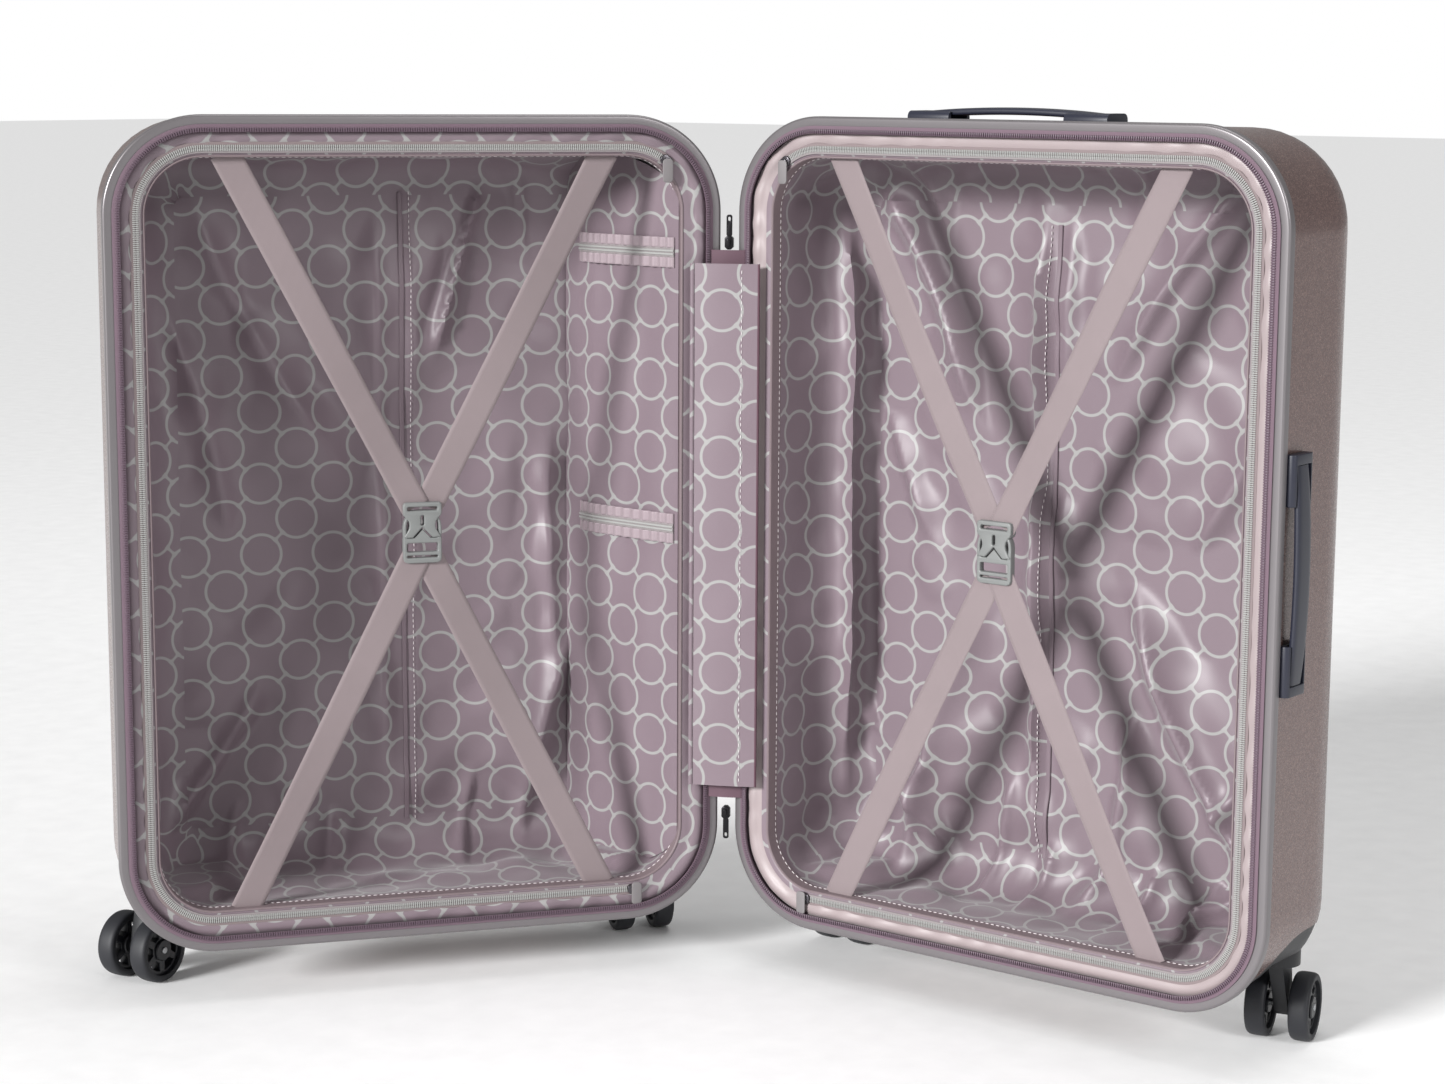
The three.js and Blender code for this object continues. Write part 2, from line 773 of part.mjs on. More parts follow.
/** The mount at one end of a grip: a low block with a slot that the grip's end lies in. */
function gripMount(sign) {
  const outer = (GRIP.length / 2) * sign;
  const inner = (GRIP.length / 2 - GRIP.capLength) * sign;
  const [x0, x1] = [Math.min(outer, inner), Math.max(outer, inner)];
  const section = roundedRectangle(GRIP.capWidth, 2 * GRIP.capHeight, 5).filter(([, z]) => z > 0);
  const bottom = [
    [-GRIP.capWidth / 2, 0],
    [GRIP.capWidth / 2, 0],
  ];
  const body = solid(bar([...section, ...bottom], x0, x1));
  const slotOuter = (GRIP.length / 2 - GRIP.capEndWall) * sign;
  const slotInner = inner - sign;
  const slot = solid(
    block(
      [Math.min(slotOuter, slotInner), -GRIP.width / 2 - RUNNING, GRIP.endRise - RUNNING],
      [Math.max(slotOuter, slotInner), GRIP.width / 2 + RUNNING, GRIP.capHeight + 5],
    ),
  );
  return cut(body, slot);
}

const HANDLES = [
  {
    name: 'top_handle',
    position: [middleX, GRIP.depth, CASE.height - CASE.sideInset + CLEAR],
    turn: 0,
    ends: ['hinge', 'outer'],
  },
  {
    name: 'side_handle',
    position: [
      CASE.width - CASE.sideInset + CLEAR,
      GRIP.depth,
      CASE.height / 2 + GRIP.sideRaise,
    ],
    turn: Math.PI / 2,
    ends: ['upper', 'lower'],
  },
];
for (const handle of HANDLES) {
  const group = new THREE.Group();
  group.position.set(...handle.position);
  group.rotation.y = handle.turn;
  addTo(group, `${handle.name}_grip`, meshed(gripSolid()), MATERIAL.handle);
  addTo(group, `${handle.name}_mount_${handle.ends[0]}`, meshed(gripMount(-1)), MATERIAL.handle);
  addTo(group, `${handle.name}_mount_${handle.ends[1]}`, meshed(gripMount(1)), MATERIAL.handle);
  backHalf.add(group);
}

// ---------------------------------------------------------------- trolley
const tubeBottom = BRACKET.bottom + BRACKET.seat + CLEAR;
const outerTubeTop = cupFloor - TROLLEY.cupWall - CLEAR;
const gripBottom = gripTop - TROLLEY.gripHeight;
const TUBES = [
  { name: 'hinge', x: middleX - TROLLEY.spacing / 2 },
  { name: 'outer', x: middleX + TROLLEY.spacing / 2 },
];

/** An upright square tube open at both ends, or a bar when it has no wall. */
function squareTube(x, bottom, top, sizeX, sizeY, wall) {
  const shape = (dx, dy, z0, z1) =>
    solid(
      block(
        [x - dx / 2, trolleyDepth - dy / 2, z0],
        [x + dx / 2, trolleyDepth + dy / 2, z1],
      ),
    );
  const outside = shape(sizeX, sizeY, bottom, top);
  return wall ? cut(outside, shape(sizeX - 2 * wall, sizeY - 2 * wall, bottom - 1, top + 1)) : outside;
}

for (const tube of TUBES) {
  const outerTube = squareTube(
    tube.x,
    tubeBottom,
    outerTubeTop,
    TROLLEY.outerX,
    TROLLEY.outerY,
    TROLLEY.tubeWall,
  );
  const innerTube = squareTube(
    tube.x,
    gripBottom - CLEAR - TROLLEY.innerLength,
    gripBottom - CLEAR,
    innerTubeX,
    innerTubeY,
    TROLLEY.tubeWall,
  );
  addTo(backHalf, `trolley_outer_tube_${tube.name}`, meshed(outerTube), MATERIAL.aluminium);
  addTo(backHalf, `trolley_inner_tube_${tube.name}`, meshed(innerTube), MATERIAL.aluminium);
}

const trolleyGripHalf = TROLLEY.spacing / 2 + TROLLEY.outerX / 2 + TROLLEY.cupMargin - TROLLEY.cupWall;
{
  const halfX = trolleyGripHalf - RUNNING;
  const round = 5;
  const bodyPoints = roundedRectangle(
    TROLLEY.gripDepth,
    TROLLEY.gripHeight,
    round,
    trolleyDepth,
    gripBottom + TROLLEY.gripHeight / 2,
  );
  const gripBody = solid(bar(bodyPoints, middleX - halfX, middleX + halfX));
  const pocket = solid(
    block(
      [
        middleX - BUTTON.length / 2 - RUNNING,
        trolleyDepth - BUTTON.width / 2 - RUNNING,
        gripTop + BUTTON.proud - BUTTON.height - BUTTON.travel - RUNNING,
      ],
      [
        middleX + BUTTON.length / 2 + RUNNING,
        trolleyDepth + BUTTON.width / 2 + RUNNING,
        gripTop + 1,
      ],
    ),
  );
  addTo(backHalf, 'trolley_grip', meshed(cut(gripBody, pocket)), MATERIAL.handle);

  const button = block(
    [
      middleX - BUTTON.length / 2,
      trolleyDepth - BUTTON.width / 2,
      gripTop + BUTTON.proud - BUTTON.height,
    ],
    [
      middleX + BUTTON.length / 2,
      trolleyDepth + BUTTON.width / 2,
      gripTop + BUTTON.proud,
    ],
  );
  addTo(backHalf, 'trolley_button', button, MATERIAL.wheelHousing);

  const recess = solid(
    block(
      [
        middleX - trolleyGripHalf,
        trolleyDepth - TROLLEY.gripDepth / 2 - RUNNING,
        cupFloor,
      ],
      [middleX + trolleyGripHalf, trolleyDepth + TROLLEY.gripDepth / 2 + RUNNING, CASE.height + 10],
    ),
  );
  const holes = TUBES.map((tube) =>
    squareTube(
      tube.x,
      cupFloor - 2 * TROLLEY.cupWall,
      CASE.height,
      innerTubeX + 2 * RUNNING,
      innerTubeY + 2 * RUNNING,
      0,
    ),
  );
  const cup = cut(trolleyCupBlock(0).intersect(envelope(-HOUSING.recess)), recess, ...holes);
  addTo(backHalf, 'trolley_cup', meshed(cup), MATERIAL.wheelHousing);

  const halfBracket = TROLLEY.spacing / 2 + TROLLEY.outerX / 2 + BRACKET.wall;
  const bracketBlock = solid(
    block(
      [middleX - halfBracket, trolleyDepth - TROLLEY.outerY / 2 - 2, BRACKET.bottom],
      [middleX + halfBracket, CASE.depth - CASE.wall - CLEAR, BRACKET.bottom + BRACKET.height],
    ),
  );
  const sockets = TUBES.map((tube) =>
    squareTube(
      tube.x,
      BRACKET.bottom + BRACKET.seat,
      BRACKET.bottom + BRACKET.height + 1,
      TROLLEY.outerX + 2 * CLEAR,
      TROLLEY.outerY + 2 * CLEAR,
      0,
    ),
  );
  const bracket = cut(bracketBlock.intersect(envelope(CASE.wall + CLEAR)), ...sockets);
  addTo(backHalf, 'trolley_bottom_bracket', meshed(bracket), MATERIAL.wheelHousing);
}

// ---------------------------------------------------------------- casters

/** One wheel about the local y axis: a tyred disc with a raised hub and a bore. */
function wheelGeometry() {
  const { wheelRadius, wheelWidth, bore, sides } = CASTER;
  const tread = wheelRadius / Math.cos(Math.PI / sides);
  const half = wheelWidth / 2;
  const profile = [
    [bore, -half],
    [tread * 0.72, -half],
    [tread * 0.9, -half + 0.6],
    [tread, -half + 4],
    [tread, half - 4],
    [tread * 0.9, half - 0.6],
    [tread * 0.72, half - 3],
    [tread * 0.34, half - 3],
    [tread * 0.3, half],
    [bore, half],
    [bore, -half],
  ].map(([x, y]) => new THREE.Vector2(x, y));
  const geometry = new THREE.LatheGeometry(profile, sides);
  geometry.rotateY(Math.PI / sides);
  return geometry;
}

/** The fork: a swivel boss and a web that reaches down between the two wheels to the axle. */
function forkSolid() {
  const { hubRadius } = CASTER;
  const top = wellCeiling - CLEAR;
  const hub = Array.from({ length: 9 }, (_, step) => {
    const angle = Math.PI / 6 - (Math.PI * 7 * step) / (6 * 8);
    return [CASTER.trail + hubRadius * Math.cos(angle), axleZ + hubRadius * Math.sin(angle)];
  });
  const web = solid(
    plate(
      [
        [-CASTER.bossRadius + 3, top - CASTER.bossDepth + 1],
        [-CASTER.bossRadius + 3, top - 2],
        [CASTER.bossRadius - 3, top - 2],
        [CASTER.bossRadius + 2, top - CASTER.bossDepth],
        ...hub,
      ],
      -CASTER.webWidth / 2,
      CASTER.webWidth / 2,
    ),
  );
  const boss = solid(post(0, 0, top - CASTER.bossDepth, top, CASTER.bossRadius));
  const bore = new THREE.CylinderGeometry(CASTER.bore, CASTER.bore, 2 * CASTER.webWidth, 16);
  bore.translate(CASTER.trail, 0, axleZ);
  return cut(union(web, boss), solid(bore));
}

/** Rest directions of the trail in the half frame, in degrees from its x axis towards its depth. */
const TRAIL_ANGLE = {
  back: { outer: 104, hinge: 90 },
  front: { outer: -43, hinge: 90 },
};

for (const half of HALVES) {
  for (const side of SIDES) {
    const caster = new THREE.Group();
    const name = `${half.name}_${side.name}`;
    caster.position.set(side.x, half.mirror * casterDepth, 0);
    caster.rotation.z = half.mirror * THREE.MathUtils.degToRad(TRAIL_ANGLE[half.name][side.name]);
    half.group.add(caster);

    addTo(caster, `${name}_fork`, meshed(forkSolid()), MATERIAL.wheelHousing);
    const axleLength = CASTER.wheelSpacing + CASTER.wheelWidth;
    const axle = new THREE.CylinderGeometry(CASTER.axleRadius, CASTER.axleRadius, axleLength, 16);
    axle.translate(CASTER.trail, 0, axleZ);
    addTo(caster, `${name}_axle`, axle, MATERIAL.steel);
    for (const [wheel, sign] of [
      ['left', 1],
      ['right', -1],
    ]) {
      const geometry = wheelGeometry();
      if (sign < 0) geometry.rotateX(Math.PI);
      geometry.translate(CASTER.trail, (sign * CASTER.wheelSpacing) / 2, axleZ);
      addTo(caster, `${name}_wheel_${wheel}`, geometry, MATERIAL.wheel);
    }
  }
}

// ---------------------------------------------------------------- origin: on the floor, in the middle
suitcase.updateMatrixWorld(true);
const bounds = new THREE.Box3().setFromObject(suitcase, true);
const centre = bounds.getCenter(new THREE.Vector3());
suitcase.position.set(-centre.x, -centre.y, -bounds.min.z);

export default suitcase;
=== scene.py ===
"""Large hard-shell suitcase standing open on its casters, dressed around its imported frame.

Each half is described in its own half frame, in millimetres, as (s, q, t):
    s  along the width, from the hinge-side edge of the rim to the outer side
    q  depth, from the plane where the two halves meet to the back of the shell
    t  height above the bottom of the shell
"""

from __future__ import annotations

import json
import logging
import math
from dataclasses import dataclass, field
from enum import Enum
from typing import Callable, Iterator, Sequence

import bmesh
import bpy
import numpy as np
from mathutils import Matrix, Vector

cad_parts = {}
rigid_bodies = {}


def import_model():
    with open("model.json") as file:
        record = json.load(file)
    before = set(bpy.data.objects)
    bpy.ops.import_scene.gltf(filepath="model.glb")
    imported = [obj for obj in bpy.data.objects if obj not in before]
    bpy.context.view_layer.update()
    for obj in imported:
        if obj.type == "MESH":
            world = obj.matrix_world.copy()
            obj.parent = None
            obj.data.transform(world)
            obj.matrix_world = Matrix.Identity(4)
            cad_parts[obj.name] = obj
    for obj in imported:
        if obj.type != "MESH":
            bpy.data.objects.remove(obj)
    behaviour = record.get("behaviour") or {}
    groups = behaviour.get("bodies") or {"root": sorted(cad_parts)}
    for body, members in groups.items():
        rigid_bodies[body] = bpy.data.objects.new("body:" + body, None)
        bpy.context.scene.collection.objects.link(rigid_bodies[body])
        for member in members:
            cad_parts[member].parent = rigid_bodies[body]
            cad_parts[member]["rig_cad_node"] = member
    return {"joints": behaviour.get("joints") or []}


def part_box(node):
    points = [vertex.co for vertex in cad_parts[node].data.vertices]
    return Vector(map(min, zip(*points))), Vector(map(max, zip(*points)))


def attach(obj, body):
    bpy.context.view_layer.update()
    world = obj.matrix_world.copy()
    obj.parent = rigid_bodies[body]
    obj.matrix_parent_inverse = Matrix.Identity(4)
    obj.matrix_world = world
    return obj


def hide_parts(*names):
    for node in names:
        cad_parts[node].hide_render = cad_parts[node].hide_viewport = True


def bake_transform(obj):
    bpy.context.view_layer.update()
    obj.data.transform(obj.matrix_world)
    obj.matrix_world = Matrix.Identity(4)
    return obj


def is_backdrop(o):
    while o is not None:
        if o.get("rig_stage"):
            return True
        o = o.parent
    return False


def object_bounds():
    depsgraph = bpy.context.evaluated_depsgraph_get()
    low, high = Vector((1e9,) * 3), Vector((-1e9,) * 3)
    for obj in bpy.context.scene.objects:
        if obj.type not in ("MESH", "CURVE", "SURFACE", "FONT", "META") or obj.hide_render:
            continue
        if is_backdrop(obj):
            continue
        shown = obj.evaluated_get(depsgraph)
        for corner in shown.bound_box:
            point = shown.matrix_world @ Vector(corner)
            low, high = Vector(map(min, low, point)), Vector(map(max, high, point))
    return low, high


LOG = logging.getLogger("suitcase")
MM = 0.001

Array = np.ndarray
Tree = bpy.types.NodeTree
Node = bpy.types.Node
Socket = bpy.types.NodeSocket
Piece = bpy.types.Object


# ---- surfaces


@dataclass
class Surface:
    """A mesh as arrays: points, each face corner's point, face sizes and cloth coordinates."""

    points: Array
    loops: Array
    sizes: Array
    uv: Array | None = None

    def flipped(self) -> Surface:
        """The same surface with every face turned over."""
        uv = None if self.uv is None else self.uv[::-1]
        return Surface(self.points, self.loops[::-1], self.sizes[::-1], uv)

    def faces(self) -> Iterator[Array]:
        """Corner indices of the faces, (faces, corners), for each number of corners in turn."""
        starts = np.cumsum(self.sizes) - self.sizes
        for size in np.unique(self.sizes):
            yield self.loops[starts[self.sizes == size][:, None] + np.arange(size)]

    def volume(self) -> float:
        """Signed volume by the divergence theorem: positive when a closed surface faces out."""
        total = 0.0
        for index in self.faces():
            corners = self.points[index]
            for k in range(1, index.shape[1] - 1):
                a, b, c = corners[:, 0], corners[:, k], corners[:, k + 1]
                total += float((a * np.cross(b, c)).sum()) / 6
        return total

    def outward(self) -> Surface:
        """A closed surface with its faces pointing out."""
        return self if self.volume() >= 0 else self.flipped()

    def moved(self, place: Callable[[Array], Array]) -> Surface:
        """The surface with its points put through a function."""
        return Surface(place(self.points), self.loops, self.sizes, self.uv)

    def normals(self) -> Array:
        """Unit normal at every point, as the sum of its faces' area vectors."""
        total = np.zeros_like(self.points)
        for index in self.faces():
            corners = self.points[index]
            area = np.zeros((len(index), 3))
            for k in range(1, index.shape[1] - 1):
                area += np.cross(corners[:, k] - corners[:, 0], corners[:, k + 1] - corners[:, 0])
            for column in index.T:
                np.add.at(total, column, area)
        return total / np.maximum(np.linalg.norm(total, axis=1, keepdims=True), 1e-12)


def joined(parts: Sequence[Surface]) -> Surface:
    """Several surfaces as one; all of them have cloth coordinates, or none has."""
    offsets = np.cumsum([0] + [len(p.points) for p in parts[:-1]])
    with_uv = all(p.uv is not None for p in parts)
    return Surface(
        np.concatenate([p.points for p in parts]),
        np.concatenate([p.loops + o for p, o in zip(parts, offsets)]),
        np.concatenate([p.sizes for p in parts]),
        np.concatenate([p.uv for p in parts]) if with_uv else None,
    )


def grid_quads(
    rows: int, columns: int, close_rows: bool = False, close_columns: bool = False
) -> Array:
    """Corner indices, (faces, 4), of the quads on a grid of rows x columns points.

    Args:
        rows: points down the grid.
        columns: points across it.
        close_rows: joins the last row to the first.
        close_columns: joins the last column to the first.
    """
    r = np.arange(rows if close_rows else rows - 1)[:, None]
    c = np.arange(columns if close_columns else columns - 1)[None, :]
    below, beside = (r + 1) % rows, (c + 1) % columns
    quads = [r * columns + c, r * columns + beside, below * columns + beside, below * columns + c]
    return np.stack(np.broadcast_arrays(*quads), axis=-1).reshape(-1, 4)


def grid(
    points: Array,
    close_rows: bool = False,
    close_columns: bool = False,
    uv: Array | None = None,
    capped: bool = False,
) -> Surface:
    """A surface over a grid of points.

    Args:
        points: (rows, columns, 3).
        close_rows: joins the last row to the first.
        close_columns: joins the last column to the first.
        uv: cloth coordinates, (rows + close_rows, columns + close_columns, 2).
        capped: closes the first and last row with a face each.

    Returns:
        The surface, facing as its rows and columns turn.
    """
    rows, columns = points.shape[:2]
    quads = grid_quads(rows, columns, close_rows, close_columns)
    loops, sizes = quads.ravel(), np.full(len(quads), 4)
    corner_uv = None
    if uv is not None:
        corner_uv = uv.reshape(-1, 2)[grid_quads(*uv.shape[:2])].reshape(-1, 2)
    if capped:
        first = np.arange(columns)[::-1]
        last = (rows - 1) * columns + np.arange(columns)
        loops = np.concatenate([loops, first, last])
        sizes = np.concatenate([sizes, [columns, columns]])
        if corner_uv is not None:
            corner_uv = np.concatenate([corner_uv, np.zeros((2 * columns, 2))])
    return Surface(points.reshape(-1, 3), loops, sizes, corner_uv)


def smooth_step(x: Array | float) -> Array:
    """0 below 0, 1 above 1, and 3x^2 - 2x^3 between."""
    x = np.clip(x, 0.0, 1.0)
    return x * x * (3 - 2 * x)


def superellipse(width: float, height: float, power: float, count: int) -> Array:
    """Closed section |x/a|^p + |y/b|^p = 1 as (count, 2) points.

    Args:
        width: along x.
        height: along y.
        power: p; 2 is an ellipse, more is squarer.
        count: points.
    """
    angle = np.linspace(0, 2 * np.pi, count, endpoint=False)
    cos, sin = np.cos(angle), np.sin(angle)
    x = width / 2 * np.sign(cos) * np.abs(cos) ** (2 / power)
    y = height / 2 * np.sign(sin) * np.abs(sin) ** (2 / power)
    return np.stack([x, y], axis=1)


def rounded_rectangle(width: float, height: float, radius: float, steps: int = 5) -> Array:
    """Rectangle about the origin with quarter circles for corners, as (n, 2) points.

    Args:
        width: along x.
        height: along y.
        radius: of the corners.
        steps: of each corner.
    """
    angle = np.radians(np.linspace(0, 90, steps + 1))
    corner = radius * np.stack([np.cos(angle), np.sin(angle)], axis=1)
    a, b = width / 2 - radius, height / 2 - radius
    turned = []
    for quarter, centre in enumerate([(a, b), (-a, b), (-a, -b), (a, -b)]):
        c, s = round(math.cos(quarter * math.pi / 2)), round(math.sin(quarter * math.pi / 2))
        turned.append(corner @ np.array([[c, s], [-s, c]]) + centre)
    return np.concatenate(turned)


def lathe(profile: Sequence[tuple[float, float]], segments: int = 48) -> Surface:
    """A closed ring turned about the y axis from a closed profile of (radius, y) pairs.

    Args:
        profile: closed line of (radius, y) pairs.
        segments: round the axis.

    Returns:
        The ring, facing outwards.
    """
    angle = np.linspace(0, 2 * np.pi, segments, endpoint=False)[:, None]
    radius, y = np.array(profile, float).T
    points = np.stack(
        np.broadcast_arrays(radius * np.cos(angle), y + 0 * angle, radius * np.sin(angle)), axis=-1
    )
    return grid(points, close_rows=True, close_columns=True).outward()


def plug_disc(radius: float, low: float, high: float, edge: float, segments: int = 40) -> Surface:
    """A disc about the y axis from y = low to high, with an edge rounded by a chamfer of edge.

    Args:
        radius: of the disc.
        low: y of one face.
        high: y of the other.
        edge: size of the chamfer.
        segments: round the axis.

    Returns:
        The disc, facing outwards.
    """
    angle = np.linspace(0, 2 * np.pi, segments, endpoint=False)
    inner = radius - edge
    rows = [(inner, low), (radius, low + edge), (radius, high - edge), (inner, high)]
    points = np.array([[(r * np.cos(a), y, r * np.sin(a)) for a in angle] for r, y in rows])
    return grid(points, close_columns=True, capped=True).outward()


def flat_part(outline: Array, holes: Sequence[Array], thickness: float, bevel: float) -> Surface:
    """A moulded plate drawn in x and z, with holes and rounded edges, its middle at y = 0.

    Args:
        outline: (n, 2) points of the outside.
        holes: outlines of the holes.
        thickness: whole thickness.
        bevel: radius of the rounding of every edge.

    Returns:
        A closed surface that faces outwards.
    """
    curve = bpy.data.curves.new("plate", "CURVE")
    curve.dimensions, curve.fill_mode = "2D", "BOTH"
    for loop in (outline, *holes):
        spline = curve.splines.new("POLY")
        spline.points.add(len(loop) - 1)
        co = np.column_stack([loop, np.zeros(len(loop)), np.ones(len(loop))])
        spline.points.foreach_set("co", co.ravel())
        spline.use_cyclic_u = True
    curve.extrude, curve.bevel_depth, curve.bevel_resolution = thickness / 2 - bevel, bevel, 2
    curve.offset = -bevel
    holder = bpy.data.objects.new("plate", curve)
    shape = bmesh.new()
    shape.from_mesh(holder.to_mesh())
    bmesh.ops.remove_doubles(shape, verts=shape.verts, dist=1e-4 * thickness)
    bmesh.ops.recalc_face_normals(shape, faces=shape.faces)
    shape.verts.ensure_lookup_table()
    points = np.array([(v.co.x, -v.co.z, v.co.y) for v in shape.verts])
    faces = [[v.index for v in f.verts] for f in shape.faces]
    shape.free()
    holder.to_mesh_clear()
    bpy.data.objects.remove(holder)
    bpy.data.curves.remove(curve)
    loops = np.array([i for f in faces for i in f])
    return Surface(points, loops, np.array([len(f) for f in faces])).outward()


def block(low: Sequence[float], high: Sequence[float]) -> Surface:
    """A plain block between two corners, used only as a cutting tool."""
    x0, y0, z0 = low
    x1, y1, z1 = high
    rows = np.array([[(x0, y0, z), (x1, y0, z), (x1, y1, z), (x0, y1, z)] for z in (z0, z1)], float)
    return grid(rows, close_columns=True, capped=True).outward()


def copies(one: Surface, places: Array) -> Surface:
    """Copies of a small surface without cloth coordinates, moved to each of (n, 3) places."""
    shift = np.arange(len(places))[:, None] * len(one.points)
    points = (places[:, None] + one.points).reshape(-1, 3)
    return Surface(points, (one.loops + shift).ravel(), np.tile(one.sizes, len(places)))


@dataclass
class Path:
    """A line with its outward directions, which can be read at any distance along it."""

    points: Array
    normals: Array
    closed: bool = False
    length: Array = field(init=False)

    def __post_init__(self) -> None:
        """Works out the distance of each point along the line."""
        points, normals = self.points, self.normals
        if self.closed:
            points, normals = np.vstack([points, points[:1]]), np.vstack([normals, normals[:1]])
        self.points, self.normals = points, normals
        steps = np.linalg.norm(np.diff(points, axis=0), axis=1)
        self.length = np.concatenate([[0.0], np.cumsum(steps)])

    def at(self, distance: Array) -> tuple[Array, Array]:
        """Places and outward directions at distances along the line."""
        place = np.stack([np.interp(distance, self.length, c) for c in self.points.T], axis=1)
        out = np.stack([np.interp(distance, self.length, c) for c in self.normals.T], axis=1)
        return place, out / np.linalg.norm(out, axis=1, keepdims=True)

    def repeated(self, one: Surface, pitch: float) -> Surface:
        """Copies of a small surface every pitch along the line.

        Args:
            one: its x runs along the line, y is depth and z points outwards.
            pitch: distance between copies.
        """
        count = int(self.length[-1] / pitch)
        distance = (np.arange(count) + 0.5) * self.length[-1] / count
        place, out = self.at(distance)
        along = np.stack([out[:, 1], -out[:, 0]], axis=1)
        x, y, z = one.points.T
        flat = place[:, None] + along[:, None] * x[:, None] + out[:, None] * z[:, None]
        points = np.stack([flat[..., 0], np.broadcast_to(y, flat.shape[:2]), flat[..., 1]], axis=-1)
        shift = np.arange(count)[:, None] * len(one.points)
        return Surface(
            points.reshape(-1, 3), (one.loops + shift).ravel(), np.tile(one.sizes, count)
        )


# ---- the case and its halves


@dataclass(frozen=True)
class Case:
    """Sizes of the case in millimetres; width and height are read from the frame."""

    width: float
    height: float
    depth: float = 150.0
    corner: float = 82.0
    back_radius: float = 55.0
    side_inset: float = 4.0
    wall: float = 2.6
    rim_back: float = 12.4
    caster_inset: float = 39.0
    caster_depth: float = 107.0
    well_radius: float = 57.0
    well_ceiling: float = 38.0


@dataclass(frozen=True)
class Counts:
    """How many steps an outline has: round a corner, across, and up."""

    arc: int
    across: int
    up: int


@dataclass(frozen=True)
class Half:
    """One half of the case: where it stands, and which way it opens."""

    name: str
    hinge: tuple[float, float]
    turn: float
    mirror: int
    gap: float
    bottom: float
    floor: float

    @property
    def body(self) -> str:
        """The moving body that the half's fixed pieces ride on."""
        return f"{self.name}_half"

    def place(self, points: Array) -> Array:
        """Half-frame points in millimetres as points in metres, turned about the hinge."""
        x = points[..., 0] * MM + self.gap
        y = self.mirror * points[..., 1] * MM
        c, s = math.cos(self.turn), math.sin(self.turn)
        z = self.bottom + points[..., 2] * MM
        return np.stack([self.hinge[0] + c * x - s * y, self.hinge[1] + s * x + c * y, z], axis=-1)

    def put(self, surface: Surface) -> Surface:
        """A half-frame surface in the row frame, turned over again where the half is mirrored."""
        moved = surface.moved(self.place)
        return moved if self.mirror > 0 else moved.flipped()


def read_case(frame: dict) -> tuple[Case, Half, Half]:
    """Reads the case's sizes and the two halves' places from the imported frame.

    Args:
        frame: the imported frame.

    Returns:
        The sizes, the back half and the front half.
    """
    hinge = next(j for j in frame["joints"] if j["name"] == "shell_hinge")
    low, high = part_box("back_rim")
    place = (hinge["pos_m"][0], hinge["pos_m"][1])
    shared = {"hinge": place, "gap": low.x - place[0], "bottom": low.z}
    opened = math.radians(hinge["range_deg"][1])
    case = Case(width=(high.x - low.x) / MM, height=(high.z - low.z) / MM)
    back = Half(name="back", turn=0.0, mirror=1, floor=117.0, **shared)
    front = Half(name="front", turn=-opened, mirror=-1, floor=143.0, **shared)
    return case, back, front


def ring(case: Case, inset: float, counts: Counts) -> Array:
    """The case's outline at an inset: straight sides joined by quarter circles, (n, 2) points.

    It starts in the middle of the lower hinge-side corner and runs along the bottom first, so
    that its points are also the border of a grid of (arc + across) x (arc + up) quads.

    Args:
        case: the case's sizes.
        inset: distance inside the outline.
        counts: steps of the outline.
    """
    radius = max(case.corner - inset, 6.0)
    low = inset + radius
    right, top = case.width - low, case.height - low
    centres = np.array([(low, low), (right, low), (right, top), (low, top)])
    ramp = np.linspace(0, 45, counts.arc // 2 + 1)[:-1]
    parts = []
    for side in range(4):
        here, there = centres[side], centres[(side + 1) % 4]
        first, last = np.radians(225 + 90 * side + ramp), np.radians(270 + 90 * side + ramp)
        out = np.array([round(math.cos(last[0])), round(math.sin(last[0]))])
        steps = counts.across if side % 2 == 0 else counts.up
        line = np.linspace(0, 1, steps + 1)[:-1, None]
        parts.append(here + radius * np.stack([np.cos(first), np.sin(first)], axis=1))
        parts.append(here + radius * out + (there - here) * line)
        parts.append(there + radius * np.stack([np.cos(last), np.sin(last)], axis=1))
    return np.concatenate(parts)


def ring_path(case: Case, inset: float, counts: Counts) -> Path:
    """The closed outline at an inset as a path, with directions from two neighbouring outlines."""
    inner, outer = ring(case, inset, counts), ring(case, inset - 1, counts)
    out = outer - inner
    return Path(inner, out / np.linalg.norm(out, axis=1, keepdims=True), closed=True)


def band(case: Case, profile: Sequence[tuple[float, float]], counts: Counts) -> Surface:
    """A closed band of constant section round the outline; the profile is (inset, q) pairs.

    Args:
        case: the case's sizes.
        profile: the section.
        counts: steps of the outline.

    Returns:
        The band, facing outwards.
    """
    rows = []
    for inset, depth in profile:
        flat = ring(case, inset, counts)
        rows.append(np.column_stack([flat[:, 0], np.full(len(flat), depth), flat[:, 1]]))
    return grid(np.array(rows), close_rows=True, close_columns=True).outward()


@dataclass
class Tray:
    """A wall that follows the outline and a floor that closes it, with its unrolled coordinates."""

    surface: Surface
    unrolled: Array
    wall_points: int


